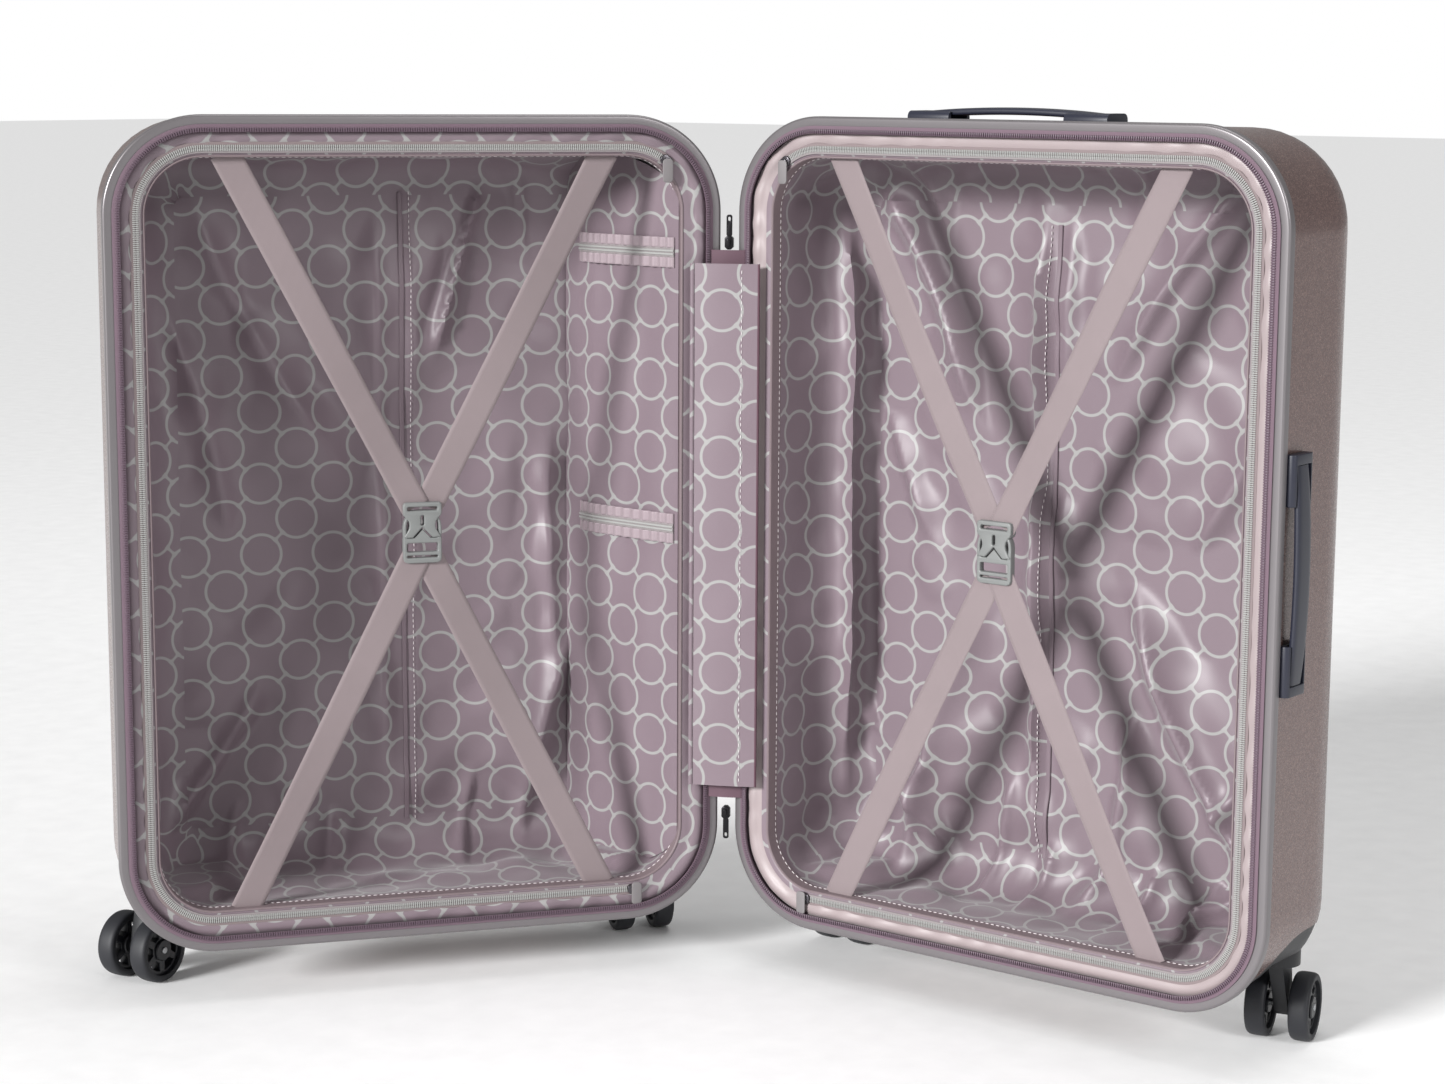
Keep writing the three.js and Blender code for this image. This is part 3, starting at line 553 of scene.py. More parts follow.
def tray(case: Case, profile: Array, counts: Counts) -> Tray:
    """Rings of a wall along a profile of (inset, q) pairs, closed by a floor inside the last ring.

    The floor is a Coons patch: every inner point is the sum of the two straight blends between
    opposite borders, less the blend of the four corners. Cloth coordinates on the wall are the
    distance round the outline and the distance down the wall; on the floor they are s and t.

    Args:
        case: the case's sizes.
        profile: (n, 2) insets and depths, from the front to the floor's edge.
        counts: steps of the outline.

    Returns:
        The tray, with each point's place when wall and floor are rolled out flat.
    """
    rings = np.array([ring(case, inset, counts) for inset, _ in profile])
    rows, around = rings.shape[:2]
    depth = np.broadcast_to(profile[:, 1, None], (rows, around))
    wall = np.stack([rings[..., 0], depth, rings[..., 1]], axis=-1)

    wide, high = counts.arc + counts.across, counts.arc + counts.up

    def sides(loop: Array) -> tuple[Array, ...]:
        """The lower, right, upper and left sides of a closed loop round the floor."""
        far = wide + high
        left = loop[wide + far :][::-1]
        return loop[: wide + 1], loop[wide : far + 1], loop[far : wide + far + 1][::-1], left

    low, right, top, left = sides(np.vstack([rings[-1], rings[-1][:1]]))
    u = np.linspace(0, 1, wide + 1)[None, :, None]
    v = np.linspace(0, 1, high + 1)[:, None, None]
    floor = (1 - v) * low + v * top + (1 - u) * left[:, None] + u * right[:, None]
    floor -= (1 - u) * (1 - v) * low[0] + u * (1 - v) * low[-1]
    floor -= (1 - u) * v * top[0] + u * v * top[-1]

    index = np.empty((high + 1, wide + 1), int)
    walk = (rows - 1) * around + np.arange(around + 1) % around
    index[0], index[:, -1], index[-1], index[:, 0] = sides(walk)
    inner = floor[1:-1, 1:-1].reshape(-1, 2)
    index[1:-1, 1:-1] = rows * around + np.arange(len(inner)).reshape(high - 1, wide - 1)

    quads = grid_quads(rows, around, close_columns=True)
    floor_quads = index.ravel()[grid_quads(high + 1, wide + 1)]
    inner_points = np.column_stack([inner[:, 0], np.full(len(inner), profile[-1, 1]), inner[:, 1]])
    points = np.vstack([wall.reshape(-1, 3), inner_points])

    middle = np.vstack([rings[rows // 2], rings[rows // 2][:1]])
    girth = np.concatenate([[0], np.cumsum(np.linalg.norm(np.diff(middle, axis=0), axis=1))])
    down = np.concatenate([[0], np.cumsum(np.linalg.norm(np.diff(profile, axis=0), axis=1))])
    wall_uv = np.stack(np.broadcast_arrays(girth, -down[:, None]), axis=-1)
    wall_uv = wall_uv.reshape(-1, 2)[grid_quads(rows, around + 1)].reshape(-1, 2)
    floor_uv = points[floor_quads.ravel()][:, [0, 2]]
    uv = np.concatenate([wall_uv, floor_uv]) * MM

    out = ring(case, 10, counts) - ring(case, 11, counts)
    spread = rings[-1] + out * (down[-1] - down)[:, None, None]
    unrolled = np.vstack([spread.reshape(-1, 2), inner])
    loops = np.concatenate([quads.ravel(), floor_quads.ravel()])
    surface = Surface(points, loops, np.full(len(loops) // 4, 4), uv)
    return Tray(surface, unrolled, rows * around)


def wall_profile(inset: float, front: float, floor: float, radius: float, step: float) -> Array:
    """(inset, q) pairs of a wall that runs straight back and turns into a floor on an arc.

    Args:
        inset: of the wall from the case's outline.
        front: q where the wall starts.
        floor: q of the floor.
        radius: of the arc between wall and floor.
        step: longest distance between pairs.
    """
    straight = floor - radius - front
    count = max(2, int(straight / step))
    depth = front + straight * np.linspace(0, 1, count + 1)[:-1]
    angle = np.linspace(0, np.pi / 2, max(4, int(radius * 1.57 / step)) + 1)
    turned = radius * (1 - np.stack([np.cos(angle), np.sin(angle)], axis=1))
    bend = (inset, floor) + turned * (1, -1)
    return np.vstack([np.column_stack([np.full(count, inset), depth]), bend])


# ---- materials


def srgb(code: str) -> tuple[float, float, float, float]:
    """An sRGB hex colour as linear light: the piecewise curve of the sRGB standard."""
    channels = [int(code[i : i + 2], 16) / 255 for i in (1, 3, 5)]
    linear = [c / 12.92 if c <= 0.04045 else ((c + 0.055) / 1.055) ** 2.4 for c in channels]
    return (*linear, 1.0)


def add_node(tree: Tree, kind: str, sockets: dict | Sequence = (), **settings: object) -> Node:
    """Adds a node with its settings, and links or sets its sockets.

    Args:
        tree: the material's node tree.
        kind: the node's type, without its prefix.
        sockets: input name or number to a value or to the output socket that feeds it, or the
            inputs in their order.
        settings: the node's own properties.

    Returns:
        The node.
    """
    node = tree.nodes.new(f"ShaderNode{kind}")
    for name, value in settings.items():
        setattr(node, name, value)
    for name, value in sockets.items() if isinstance(sockets, dict) else enumerate(sockets):
        if isinstance(value, Socket):
            tree.links.new(value, node.inputs[name])
        else:
            node.inputs[name].default_value = value
    return node


@dataclass(frozen=True)
class Finish:
    """A moulded plastic or other even finish: a colour, how rough it is, and a fine grain."""

    name: str
    colour: str
    roughness: float
    metallic: float = 0.0
    grain: float = 0.6  # size of the surface grain, millimetres
    relief: float = 0.04  # height of the grain, millimetres
    vary: float = 0.06  # how far the colour drifts
    sheen: float = 0.0
    coat: float = 0.0

    def material(self) -> bpy.types.Material:
        """The finish as a material, made once and then shared."""
        made = bpy.data.materials.get(self.name)
        if made is None:
            made = bpy.data.materials.new(self.name)
            made.use_nodes = True
            made.diffuse_color = srgb(self.colour)
            tree = made.node_tree
            shader = tree.nodes["Principled BSDF"]
            even = {"Roughness": self.roughness, "Metallic": self.metallic}
            even |= {"Sheen Weight": self.sheen, "Coat Weight": self.coat, "Coat Roughness": 0.15}
            for name, value in even.items():
                shader.inputs[name].default_value = value
            for name, source in self.dress(tree).items():
                tree.links.new(source, shader.inputs[name])
        return made

    def place(self, tree: Tree) -> Socket:
        """Object coordinates in millimetres."""
        where = add_node(tree, "TexCoord").outputs["Object"]
        return add_node(tree, "VectorMath", [where, (1 / MM,) * 3], operation="MULTIPLY").outputs[0]

    def drifting(self, tree: Tree, where: Socket, scale: float) -> Socket:
        """The base colour, lighter and darker in soft patches of about 1/scale millimetres.

        Args:
            tree: the material's node tree.
            where: coordinates in millimetres.
            scale: of the patches.
        """
        noise = add_node(tree, "TexNoise", {"Vector": where, "Scale": scale, "Detail": 3.0})
        drift = {"Value": noise.outputs[0], "To Min": 1 - self.vary, "To Max": 1 + self.vary}
        value = add_node(tree, "MapRange", drift).outputs[0]
        colour = {"Color": srgb(self.colour), "Value": value}
        return add_node(tree, "HueSaturation", colour).outputs[0]

    def bump(self, tree: Tree, height: Socket) -> Socket:
        """Normals of a surface raised by a height from 0 to 1, relief millimetres high."""
        raised = {"Height": height, "Distance": self.relief * MM, "Strength": 1.0}
        return add_node(tree, "Bump", raised).outputs[0]

    def dress(self, tree: Tree) -> dict[str, Socket]:
        """What feeds the shader: here a drifting colour and a fine moulded grain.

        Args:
            tree: the material's node tree.

        Returns:
            The source of each of the shader's inputs that varies.
        """
        where = self.place(tree)
        noise = {"Vector": where, "Scale": 1 / self.grain, "Detail": 2.0}
        height = add_node(tree, "TexNoise", noise).outputs[0]
        return {"Base Color": self.drifting(tree, where, 0.03), "Normal": self.bump(tree, height)}


@dataclass(frozen=True)
class Flake(Finish):
    """Polycarbonate with metal flake under a clear gloss: small cells, each with its own lightness
    and roughness, so that some glint.
    """

    light: str = "#8f756d"

    def dress(self, tree: Tree) -> dict[str, Socket]:
        """Light flakes in the colour, cell by cell, and a gloss with a slight orange peel."""
        where = self.place(tree)
        cells = add_node(tree, "TexVoronoi", {"Vector": where, "Scale": 1 / self.grain})
        red, green = add_node(tree, "SeparateColor", {"Color": cells.outputs["Color"]}).outputs[:2]
        share = {"Value": red, "From Min": 0.55, "From Max": 1.0, "To Max": 0.55}
        mixed = {
            "Factor": add_node(tree, "MapRange", share).outputs[0],
            6: self.drifting(tree, where, 0.012),
            7: srgb(self.light),
        }
        rough = {"Value": green, "To Min": self.roughness - 0.1, "To Max": self.roughness + 0.15}
        peel = add_node(tree, "TexNoise", {"Vector": where, "Scale": 0.35, "Detail": 1.0})
        return {
            "Base Color": add_node(tree, "Mix", mixed, data_type="RGBA").outputs[2],
            "Roughness": add_node(tree, "MapRange", rough).outputs[0],
            "Normal": self.bump(tree, peel.outputs[0]),
        }


@dataclass(frozen=True)
class Weave(Finish):
    """Woven polyester: threads cross at right angles along the cloth coordinates."""

    thread: float = 0.9  # thread spacing, millimetres
    twill: float = 0.0  # how far each row steps on, as a share of a thread

    def place(self, tree: Tree) -> Socket:
        """Cloth coordinates in millimetres."""
        where = add_node(tree, "UVMap", uv_map="cloth").outputs["UV"]
        return add_node(tree, "VectorMath", [where, (1 / MM,) * 3], operation="MULTIPLY").outputs[0]

    def threads(self, tree: Tree, where: Socket) -> Socket:
        """Height of a weave: the product of two sines at the thread spacing, from 0 to 1.

        Args:
            tree: the material's node tree.
            where: cloth coordinates in millimetres.
        """
        x, y = add_node(tree, "SeparateXYZ", {"Vector": where}).outputs[:2]
        slanted = add_node(tree, "Math", [y, self.twill, x], operation="MULTIPLY_ADD").outputs[0]
        waves = []
        for source in (slanted, y):
            turns = [source, 2 * math.pi / self.thread]
            angle = add_node(tree, "Math", turns, operation="MULTIPLY").outputs[0]
            waves.append(add_node(tree, "Math", [angle], operation="SINE").outputs[0])
        crossed = add_node(tree, "Math", waves, operation="MULTIPLY").outputs[0]
        return add_node(tree, "Math", [crossed, 0.5, 0.5], operation="MULTIPLY_ADD").outputs[0]

    def base(self, tree: Tree, where: Socket) -> Socket:
        """The cloth's colour before its threads are shaded."""
        return self.drifting(tree, where, 0.02)

    def dress(self, tree: Tree) -> dict[str, Socket]:
        """Painted shade in the gaps between raised threads and a slight painted highlight on their
        tops, with a bump for the threads.
        """
        where = self.place(tree)
        height = self.threads(tree, where)
        # Painted shade: 0.90 of the colour in the thread gaps, up to a 1.06 painted highlight on
        # the thread tops.
        shade = add_node(tree, "MapRange", {"Value": height, "To Min": 0.90, "To Max": 1.06})
        colour = {"Color": self.base(tree, where), "Value": shade.outputs[0]}
        return {
            "Base Color": add_node(tree, "HueSaturation", colour).outputs[0],
            "Normal": self.bump(tree, height),
        }


@dataclass(frozen=True)
class RingPrint(Weave):
    """Satin printed with pale rings, each joined to its diagonal neighbours by short bars."""

    ring_colour: str = "#939291"
    cell: float = 63.0  # side of the repeat, which holds two rings
    radius: float = 17.5  # middle of a ring's line
    line: float = 2.5  # width of a ring's line
    link: float = 2.4  # width of the bar that joins two rings
    web: float = 3.2  # how softly bar and ring run together
    edge: float = 0.35  # half the width over which the print's edge fades

    def beyond(self, tree: Tree, where: Socket, shift: float) -> Socket:
        """Distance outside the nearest ring of one of the two square grids, in millimetres.

        Args:
            tree: the material's node tree.
            where: cloth coordinates in millimetres.
            shift: 0 for the first grid, 0.5 for the second.
        """
        steps = [
            ("MULTIPLY_ADD", (1 / self.cell, 1 / self.cell, 0), (shift, shift, 0)),
            ("FRACTION",),
            ("SUBTRACT", (0.5, 0.5, 0)),
        ]
        for operation, *terms in steps:
            where = add_node(tree, "VectorMath", [where, *terms], operation=operation).outputs[0]
        reach = add_node(tree, "VectorMath", [where], operation="LENGTH").outputs["Value"]
        outside = [reach, self.cell, -self.radius]
        return add_node(tree, "Math", outside, operation="MULTIPLY_ADD").outputs[0]

    def base(self, tree: Tree, where: Socket) -> Socket:
        """Mixes the ring colour in where a ring's line or a bar between two rings is near.

        The distance to a ring's line is |distance outside the ring|. A bar joins two rings along
        the line between their centres: with r1 + r2 the sum of the distances to both centres and
        d their spacing, the distance to that line is about sqrt((r1 + r2)^2 - d^2) / 2.

        Args:
            tree: the material's node tree.
            where: cloth coordinates in millimetres.

        Returns:
            The printed colour.
        """
        known = {"first": self.beyond(tree, where, 0.0), "second": self.beyond(tree, where, 0.5)}
        steps = [
            ("first line", "ABSOLUTE", "first"),
            ("second line", "ABSOLUTE", "second"),
            ("lines", "MINIMUM", "first line", "second line"),
            ("both", "ADD", "first", "second"),
            ("r1 + r2", "ADD", "both", 2 * self.radius),
            ("squared", "POWER", "r1 + r2", 2.0),
            ("less d^2", "SUBTRACT", "squared", self.cell**2 / 2),
            ("not below 0", "MAXIMUM", "less d^2", 0.0),
            ("root", "SQRT", "not below 0"),
            ("bar", "MULTIPLY_ADD", "root", 0.5, (self.line - self.link) / 2),
            ("nearer", "MINIMUM", "first", "second"),
            ("within", "MULTIPLY", "nearer", -1.0),
            ("bars", "MAXIMUM", "bar", "within"),
            ("nearest", "SMOOTH_MIN", "lines", "bars", self.web),
        ]
        for name, operation, *terms in steps:
            sockets = [known.get(term, term) for term in terms]
            known[name] = add_node(tree, "Math", sockets, operation=operation).outputs[0]
        printed = {
            "Value": known["nearest"],
            "From Min": self.line / 2 - self.edge,
            "From Max": self.line / 2 + self.edge,
            "To Min": 1.0,
            "To Max": 0.0,
        }
        mixed = {
            "Factor": add_node(
                tree, "MapRange", printed, interpolation_type="SMOOTHSTEP"
            ).outputs[0],
            6: self.drifting(tree, where, 0.01),
            7: srgb(self.ring_colour),
        }
        return add_node(tree, "Mix", mixed, data_type="RGBA").outputs[2]


@dataclass(frozen=True)
class Brushed(Finish):
    """Extruded aluminium or turned steel: streaks that run one way, here along the height."""

    def dress(self, tree: Tree) -> dict[str, Socket]:
        """Noise stretched along the height makes drawing lines in the roughness and relief."""
        where = self.place(tree)
        stretch = (1 / self.grain, 1 / self.grain, 0.02)
        thin = add_node(tree, "VectorMath", [where, stretch], operation="MULTIPLY").outputs[0]
        lines = add_node(tree, "TexNoise", {"Vector": thin, "Scale": 1.0, "Detail": 2.0}).outputs[0]
        rough = {"Value": lines, "To Min": self.roughness - 0.08, "To Max": self.roughness + 0.12}
        return {
            "Base Color": self.drifting(tree, where, 0.02),
            "Roughness": add_node(tree, "MapRange", rough).outputs[0],
            "Normal": self.bump(tree, lines),
        }


# Polycarbonate sheet with metal flake, vacuum formed: rose-brown with fine glints under gloss.
SHELL = Flake("flake_polycarbonate", "#5a4340", 0.34, 0.35, grain=0.9, relief=0.05, coat=0.5)
# Satin-painted rim strip: pale grey with a soft metallic shine.
RIM = Finish("satin_grey_strip", "#777375", 0.34, 0.55, grain=1.2, relief=0.01, vary=0.03)
# Woven polyester zip tape, dyed mauve.
TAPE = Weave("mauve_zip_tape", "#67535f", 0.72, thread=1.1, relief=0.12, sheen=0.2)
# Nylon coil teeth, dyed to match the tape, a little darker and smoother.
TEETH = Finish("mauve_nylon_coil", "#574652", 0.42, grain=0.5)
# Satin polyester lining, woven fine and printed with rings.
LINING = RingPrint("ring_printed_satin", "#75666e", 0.42, thread=1.5, relief=0.05, sheen=0.2)
# The same satin without the print, for the back half's rolled flange: a lighter, warm pale grey
# copy of the lining, which is painted light.
LIT_ROLL_SATIN = Weave("plain_satin", "#978a8b", 0.42, thread=1.5, relief=0.05, sheen=0.2)
# The lining satin where its print does not reach, on felled seams.
UNPRINTED = Weave("unprinted_satin", "#6f6068", 0.45, thread=1.5, relief=0.05, sheen=0.2)
# Grained vinyl binding, bent over the lining's edge and sewn down.
BINDING = Finish("sewn_vinyl_binding", "#75676a", 0.5, grain=0.8, relief=0.08)
# Woven gusset that joins the halves behind the flap, maroon like the zip.
GUSSET = Weave("maroon_gusset", "#5b434e", 0.7, thread=1.1, relief=0.1)
# Bordeaux piping, satin cord.
PIPING = Weave("bordeaux_piping", "#4d2f3b", 0.6, thread=0.8, relief=0.05)
# Gathered satin edging beside the pocket zips, dusty pink.
EDGING = Weave("gathered_satin_edging", "#8f8086", 0.5, thread=0.9, relief=0.05, sheen=0.3)
# Woven tape of the lining's zip where it is sewn to the flange, grey-brown.
TAPE_DARK = Weave("grey_brown_zip_tape", "#7c6f70", 0.7, thread=0.9, relief=0.08)
# Polyester thread, near white.
THREAD = Finish("pale_thread", "#d6cfd0", 0.7, grain=0.3)
# Nylon coil zip of the lining, pale grey.
COIL = Finish("pale_nylon_coil", "#979795", 0.45, grain=0.5)
# Its woven tape.
COIL_TAPE = Weave("pale_zip_tape", "#857e7f", 0.75, thread=0.9, relief=0.08, sheen=0.2)
# Polyester luggage webbing, twill woven: dusty pink; its pale selvedges are not drawn.
WEBBING = Weave("twill_webbing", "#7f7274", 0.62, thread=1.0, twill=0.5, relief=0.12, sheen=0.3)
# Acetal buckle, moulded, mid grey.
BUCKLE = Finish("grey_acetal", "#747675", 0.42, grain=1.0, relief=0.015, vary=0.03)
# Nylon handle, moulded with a fine texture, navy black.
HANDLE = Finish("navy_black_nylon", "#20222f", 0.38, grain=0.5, relief=0.02)
# ABS wheel housings and trolley parts, textured black.
BLACK = Finish("textured_black_abs", "#121317", 0.45, grain=0.6, relief=0.05)
# Polyurethane tyre, cast, grey-black and matt.
TYRE = Finish("cast_polyurethane_tyre", "#1e1f24", 0.58, grain=0.7, relief=0.03)
# Wheel disc, glossier black nylon.
DISC = Finish("black_nylon_disc", "#17181d", 0.35, grain=0.8, relief=0.02)
# Steel axle, turned.
STEEL = Brushed("turned_steel", "#a9abad", 0.3, 1.0, grain=0.4, relief=0.01)
# Trolley tube, anodised aluminium.
ALUMINIUM = Brushed("anodised_aluminium", "#c3c5c8", 0.36, 1.0, grain=0.35, relief=0.01)
# Zip slider, zinc with dark nickel plating.
NICKEL = Finish("dark_nickel_plate", "#5a575b", 0.28, 1.0, grain=1.0, relief=0.01)
# The main zip's sliders: zinc with black plating.
BLACK_PLATE = Finish("black_plated_zinc", "#1e1d20", 0.3, 0.7, grain=1.0, relief=0.01)
# Rubbery pull tab, moulded PVC.
PULL = Finish("soft_grey_pvc", "#716d6e", 0.55, grain=0.6, relief=0.03)


# ---- pieces


def make_mesh(name: str, surface: Surface, sharp: float = 35.0) -> bpy.types.Mesh:
    """A mesh from a surface, shaded smooth but for edges sharper than an angle in degrees.

    Args:
        name: of the mesh.
        surface: its form.
        sharp: the angle.
    """
    mesh = bpy.data.meshes.new(name)
    mesh.vertices.add(len(surface.points))
    mesh.vertices.foreach_set("co", surface.points.astype(np.float32).ravel())
    mesh.loops.add(len(surface.loops))
    mesh.loops.foreach_set("vertex_index", surface.loops.astype(np.int32))
    mesh.polygons.add(len(surface.sizes))
    starts = np.cumsum(surface.sizes) - surface.sizes
    mesh.polygons.foreach_set("loop_start", starts.astype(np.int32))
    if surface.uv is not None:
        layer = mesh.uv_layers.new(name="cloth")
        layer.data.foreach_set("uv", surface.uv.astype(np.float32).ravel())
    mesh.update(calc_edges=True)
    mesh.polygons.foreach_set("use_smooth", np.ones(len(surface.sizes), bool))
    mesh.set_sharp_from_angle(angle=math.radians(sharp))
    return mesh


def make_object(name: str, surface: Surface, finish: Finish, sharp: float = 35.0) -> Piece:
    """A piece at the origin, its place in its mesh, with one finish."""
    made = bpy.data.objects.new(name, make_mesh(name, surface, sharp))
    bpy.context.scene.collection.objects.link(made)
    made.data.materials.append(finish.material())
    return made


def settle(piece: Piece, sharp: float = 35.0) -> Piece:
    """Turns a piece's modifiers into its mesh and marks its sharp edges again.

    Args:
        piece: the piece.
        sharp: edges turned by more than this many degrees are sharp.

    Returns:
        The piece.
    """
    graph = bpy.context.evaluated_depsgraph_get()
    mesh = bpy.data.meshes.new_from_object(piece.evaluated_get(graph))
    piece.modifiers.clear()
    old, piece.data = piece.data, mesh
    mesh.name = piece.name
    bpy.data.meshes.remove(old)
    mesh.polygons.foreach_set("use_smooth", np.ones(len(mesh.polygons), bool))
    mesh.set_sharp_from_angle(angle=math.radians(sharp))
    return piece


class Cut(Enum):
    """How one solid changes another."""

    AWAY = "DIFFERENCE"
    WITHIN = "INTERSECT"
    WITH = "UNION"


def carve(piece: Piece, steps: Sequence[tuple[Cut, Surface | Piece]]) -> Piece:
    """Cuts closed solids out of a piece, keeps what lies within them, or joins them to it.

    Args:
        piece: the piece, itself closed.
        steps: how each solid changes it, in order; a piece used as a solid is used up.

    Returns:
        The piece with its new mesh.
    """
    tools = []
    for how, solid in steps:
        tool = solid
        if isinstance(solid, Surface):
            tool = bpy.data.objects.new("tool", make_mesh("tool", solid))
            bpy.context.scene.collection.objects.link(tool)
        tools.append(tool)
        modifier = piece.modifiers.new("carve", "BOOLEAN")
        modifier.object, modifier.operation, modifier.solver = tool, how.value, "MANIFOLD"
    settle(piece)
    for tool in tools:
        mesh = tool.data
        bpy.data.objects.remove(tool)
        bpy.data.meshes.remove(mesh)
    return piece


def finish_piece(piece: Piece, body: str, slot: str, *stands_for: str) -> Piece:
    """Lets a piece ride on a body, hides the frame nodes it stands for, and reports it.

    Args:
        piece: the piece.
        body: the moving body that it rides on.
        slot: not used.
        stands_for: the frame nodes that it replaces.

    Returns:
        The piece.
    """
    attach(piece, body)
    if stands_for:
        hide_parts(*stands_for)
    LOG.info("%s rides on %s", piece.name, body)
    return piece


def add_piece(
    name: str,
    surface: Surface,
    finish: Finish,
    body: str,
    slot: str,
    *stands_for: str,
    sharp: float = 35.0,
) -> Piece:
    """Makes a piece that rides on a body, and reports it.

    Args:
        name: of the piece.
        surface: its form, in metres, in its place.
        finish: its material.
        body: the moving body that it rides on.
        slot: its material slot.
        stands_for: the frame nodes that it replaces.
        sharp: edges turned by more than this many degrees stay sharp.

    Returns:
        The piece.
    """
    return finish_piece(make_object(name, surface, finish, sharp), body, slot, *stands_for)


def softened(node: str, bevel: float, finish: Finish, segments: int = 3) -> Piece:
    """A merged copy of a frame node with its sharp edges rounded, bevel in millimetres.

    Args:
        node: the frame node.
        bevel: width of the rounding, millimetres.
        finish: the material.
        segments: steps of the rounding.

    Returns:
        The copy.
    """
    source = next(o for o in bpy.data.objects if o.get("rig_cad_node") == node)
    made = bpy.data.objects.new(f"{node}_moulded", source.data.copy())
    bpy.context.scene.collection.objects.link(made)
    shape = bmesh.new()
    shape.from_mesh(made.data)
    bmesh.ops.remove_doubles(shape, verts=shape.verts, dist=0.02 * MM)
    bmesh.ops.dissolve_limit(
        shape, angle_limit=math.radians(1), verts=shape.verts, edges=shape.edges
    )
    shape.to_mesh(made.data)
    shape.free()
    made.data.materials.clear()
    made.data.materials.append(finish.material())
    modifier = made.modifiers.new("rounding", "BEVEL")
    modifier.width, modifier.segments = bevel * MM, segments
    modifier.limit_method, modifier.angle_limit = "ANGLE", math.radians(28)
    modifier.use_clamp_overlap = True
    return settle(made)


@dataclass
class Shell:
    """A half's outer shell: flake polycarbonate with shallow flutes down its broad back."""

    case: Case
    half: Half
    counts: Counts = Counts(12, 96, 110)
    flute_pitch: float = 33.5
    flute_depth: float = 1.5
    housing_rise: float = 62.0
    housing_foot: float = 19.0
    housing_reach: float = 108.0

    def envelope(self, inset: float, fluted: bool = False) -> Surface:
        """The shell's outer form as a closed solid, inset by a distance.

        The flutes press the floor in by depth x cos^4 of the place across a pitch, fading out
        towards the ends.

        Args:
            inset: distance inside the shell's outside.
            fluted: whether the flutes are pressed in.

        Returns:
            The solid, in the half frame.
        """
        case = self.case
        floor = case.depth - inset
        radius = case.back_radius - inset
        profile = wall_profile(case.side_inset + inset, case.rim_back, floor, radius, 7.0)
        made = tray(case, profile, self.counts).surface
        if fluted:
            s, q, t = made.points.T
            wave = np.cos(np.pi * (s - case.width / 2) / self.flute_pitch) ** 4
            edge = smooth_step((s - 85) / 20) * smooth_step((case.width - 85 - s) / 20)
            ends = smooth_step((t - 92) / 25) * smooth_step((case.height - 78 - t) / 25)
            made.points[:, 1] = np.where(
                q > floor - 0.5, q - self.flute_depth * wave * edge * ends, q
            )
        around = 2 * (2 * self.counts.arc + self.counts.across + self.counts.up)
        loops = np.concatenate([made.loops, np.arange(around)[::-1]])
        sizes = np.concatenate([made.sizes, [around]])
        return Surface(made.points, loops, sizes).outward()

    def housing_volume(self, outer: bool, grow: float) -> Surface:
        """The corner that a wheel housing takes: a height over s and q, closed below.

        Its height is an S-curve in q, steep at its foot, times a superellipse in s that rounds
        its inner end.

        Args:
            outer: whether it is the outer side's or the hinge side's.
            grow: how much bigger it is than the housing.

        Returns:
            The solid, in the half frame.
        """
        case = self.case
        foot, reach = self.housing_foot - grow, self.housing_reach + grow
        q = np.concatenate([np.linspace(foot, foot + 30, 22), np.linspace(foot + 34, 160, 22)])
        u = (q - foot) / (case.caster_depth - self.housing_foot)
        rise = self.housing_rise + grow
        height = rise * (1 - (1 - np.clip(u, 0, 1)) ** 3.2)
        across = np.concatenate([np.linspace(0, 0.12, 14), np.linspace(0.14, 1, 18)])
        round_end = (1 - (1 - np.clip(across / 0.42, 0, 1)) ** 4) ** 0.25
        s = case.width - reach + across * (reach + 12)
        if not outer:
            s = case.width - s
        top = -1 + (height[None, :] + 1) * round_end[:, None]
        mesh_s, mesh_q = np.broadcast_arrays(s[:, None], q)
        upper = np.stack([mesh_s, mesh_q, top], axis=-1)
        lower = np.stack([mesh_s, mesh_q, np.full_like(top, -12.0)], axis=-1)
        loops = np.concatenate([upper, lower[:, ::-1]], axis=1)
        return grid(loops, close_columns=True, capped=True).outward()

    def well(self, outer: bool, grow: float, ceiling: float, bottom: float) -> Surface:
        """An upright cylinder round the swivel line, from bottom to ceiling.

        Args:
            outer: which side's line.
            grow: added to the radius.
            ceiling: highest t.
            bottom: lowest t.
        """
        case = self.case
        s = case.width - case.caster_inset if outer else case.caster_inset
        disc = plug_disc(case.well_radius + grow, bottom, ceiling, 1.5, 64)
        turned = disc.points[:, [0, 2, 1]] + (s, case.caster_depth, 0)
        return Surface(turned, disc.loops, disc.sizes).outward()

    def build(self) -> None:
        """Makes the shell and its two wheel housings."""
        case, half = self.case, self.half
        name = f"{half.name}_shell"
        shell = make_object(f"{name}_formed", half.put(self.envelope(0.0, True)), SHELL)
        steps = [(Cut.AWAY, self.envelope(case.wall, True))]
        mouth = ring(case, case.side_inset + case.wall, self.counts)
        rows = [
            np.column_stack([mouth[:, 0], np.full(len(mouth), q), mouth[:, 1]])
            for q in (case.rim_back - 2, case.rim_back + 5)
        ]
        steps.append((Cut.AWAY, grid(np.array(rows), close_columns=True, capped=True).outward()))
        steps += [(Cut.AWAY, self.housing_volume(outer, 0.5)) for outer in (True, False)]
        if half.name == "back":
            low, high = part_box("trolley_cup")
            low, high = self.in_half(low) - 0.5, self.in_half(high) + 0.5
            steps.append((Cut.AWAY, block((low[0], low[1], low[2]), (high[0], 170, 710))))
        carve(shell, [(how, half.put(tool)) for how, tool in steps])
        finish_piece(shell, half.body, "shell", name)
        for outer in (True, False):
            self.build_housing(outer)

    def in_half(self, corner: Vector) -> Array:
        """A corner of a back-half node's box in the half frame, millimetres."""
        half = self.half
        origin = (half.hinge[0] + half.gap, half.hinge[1], half.bottom)
        return (np.array(corner) - origin) / MM

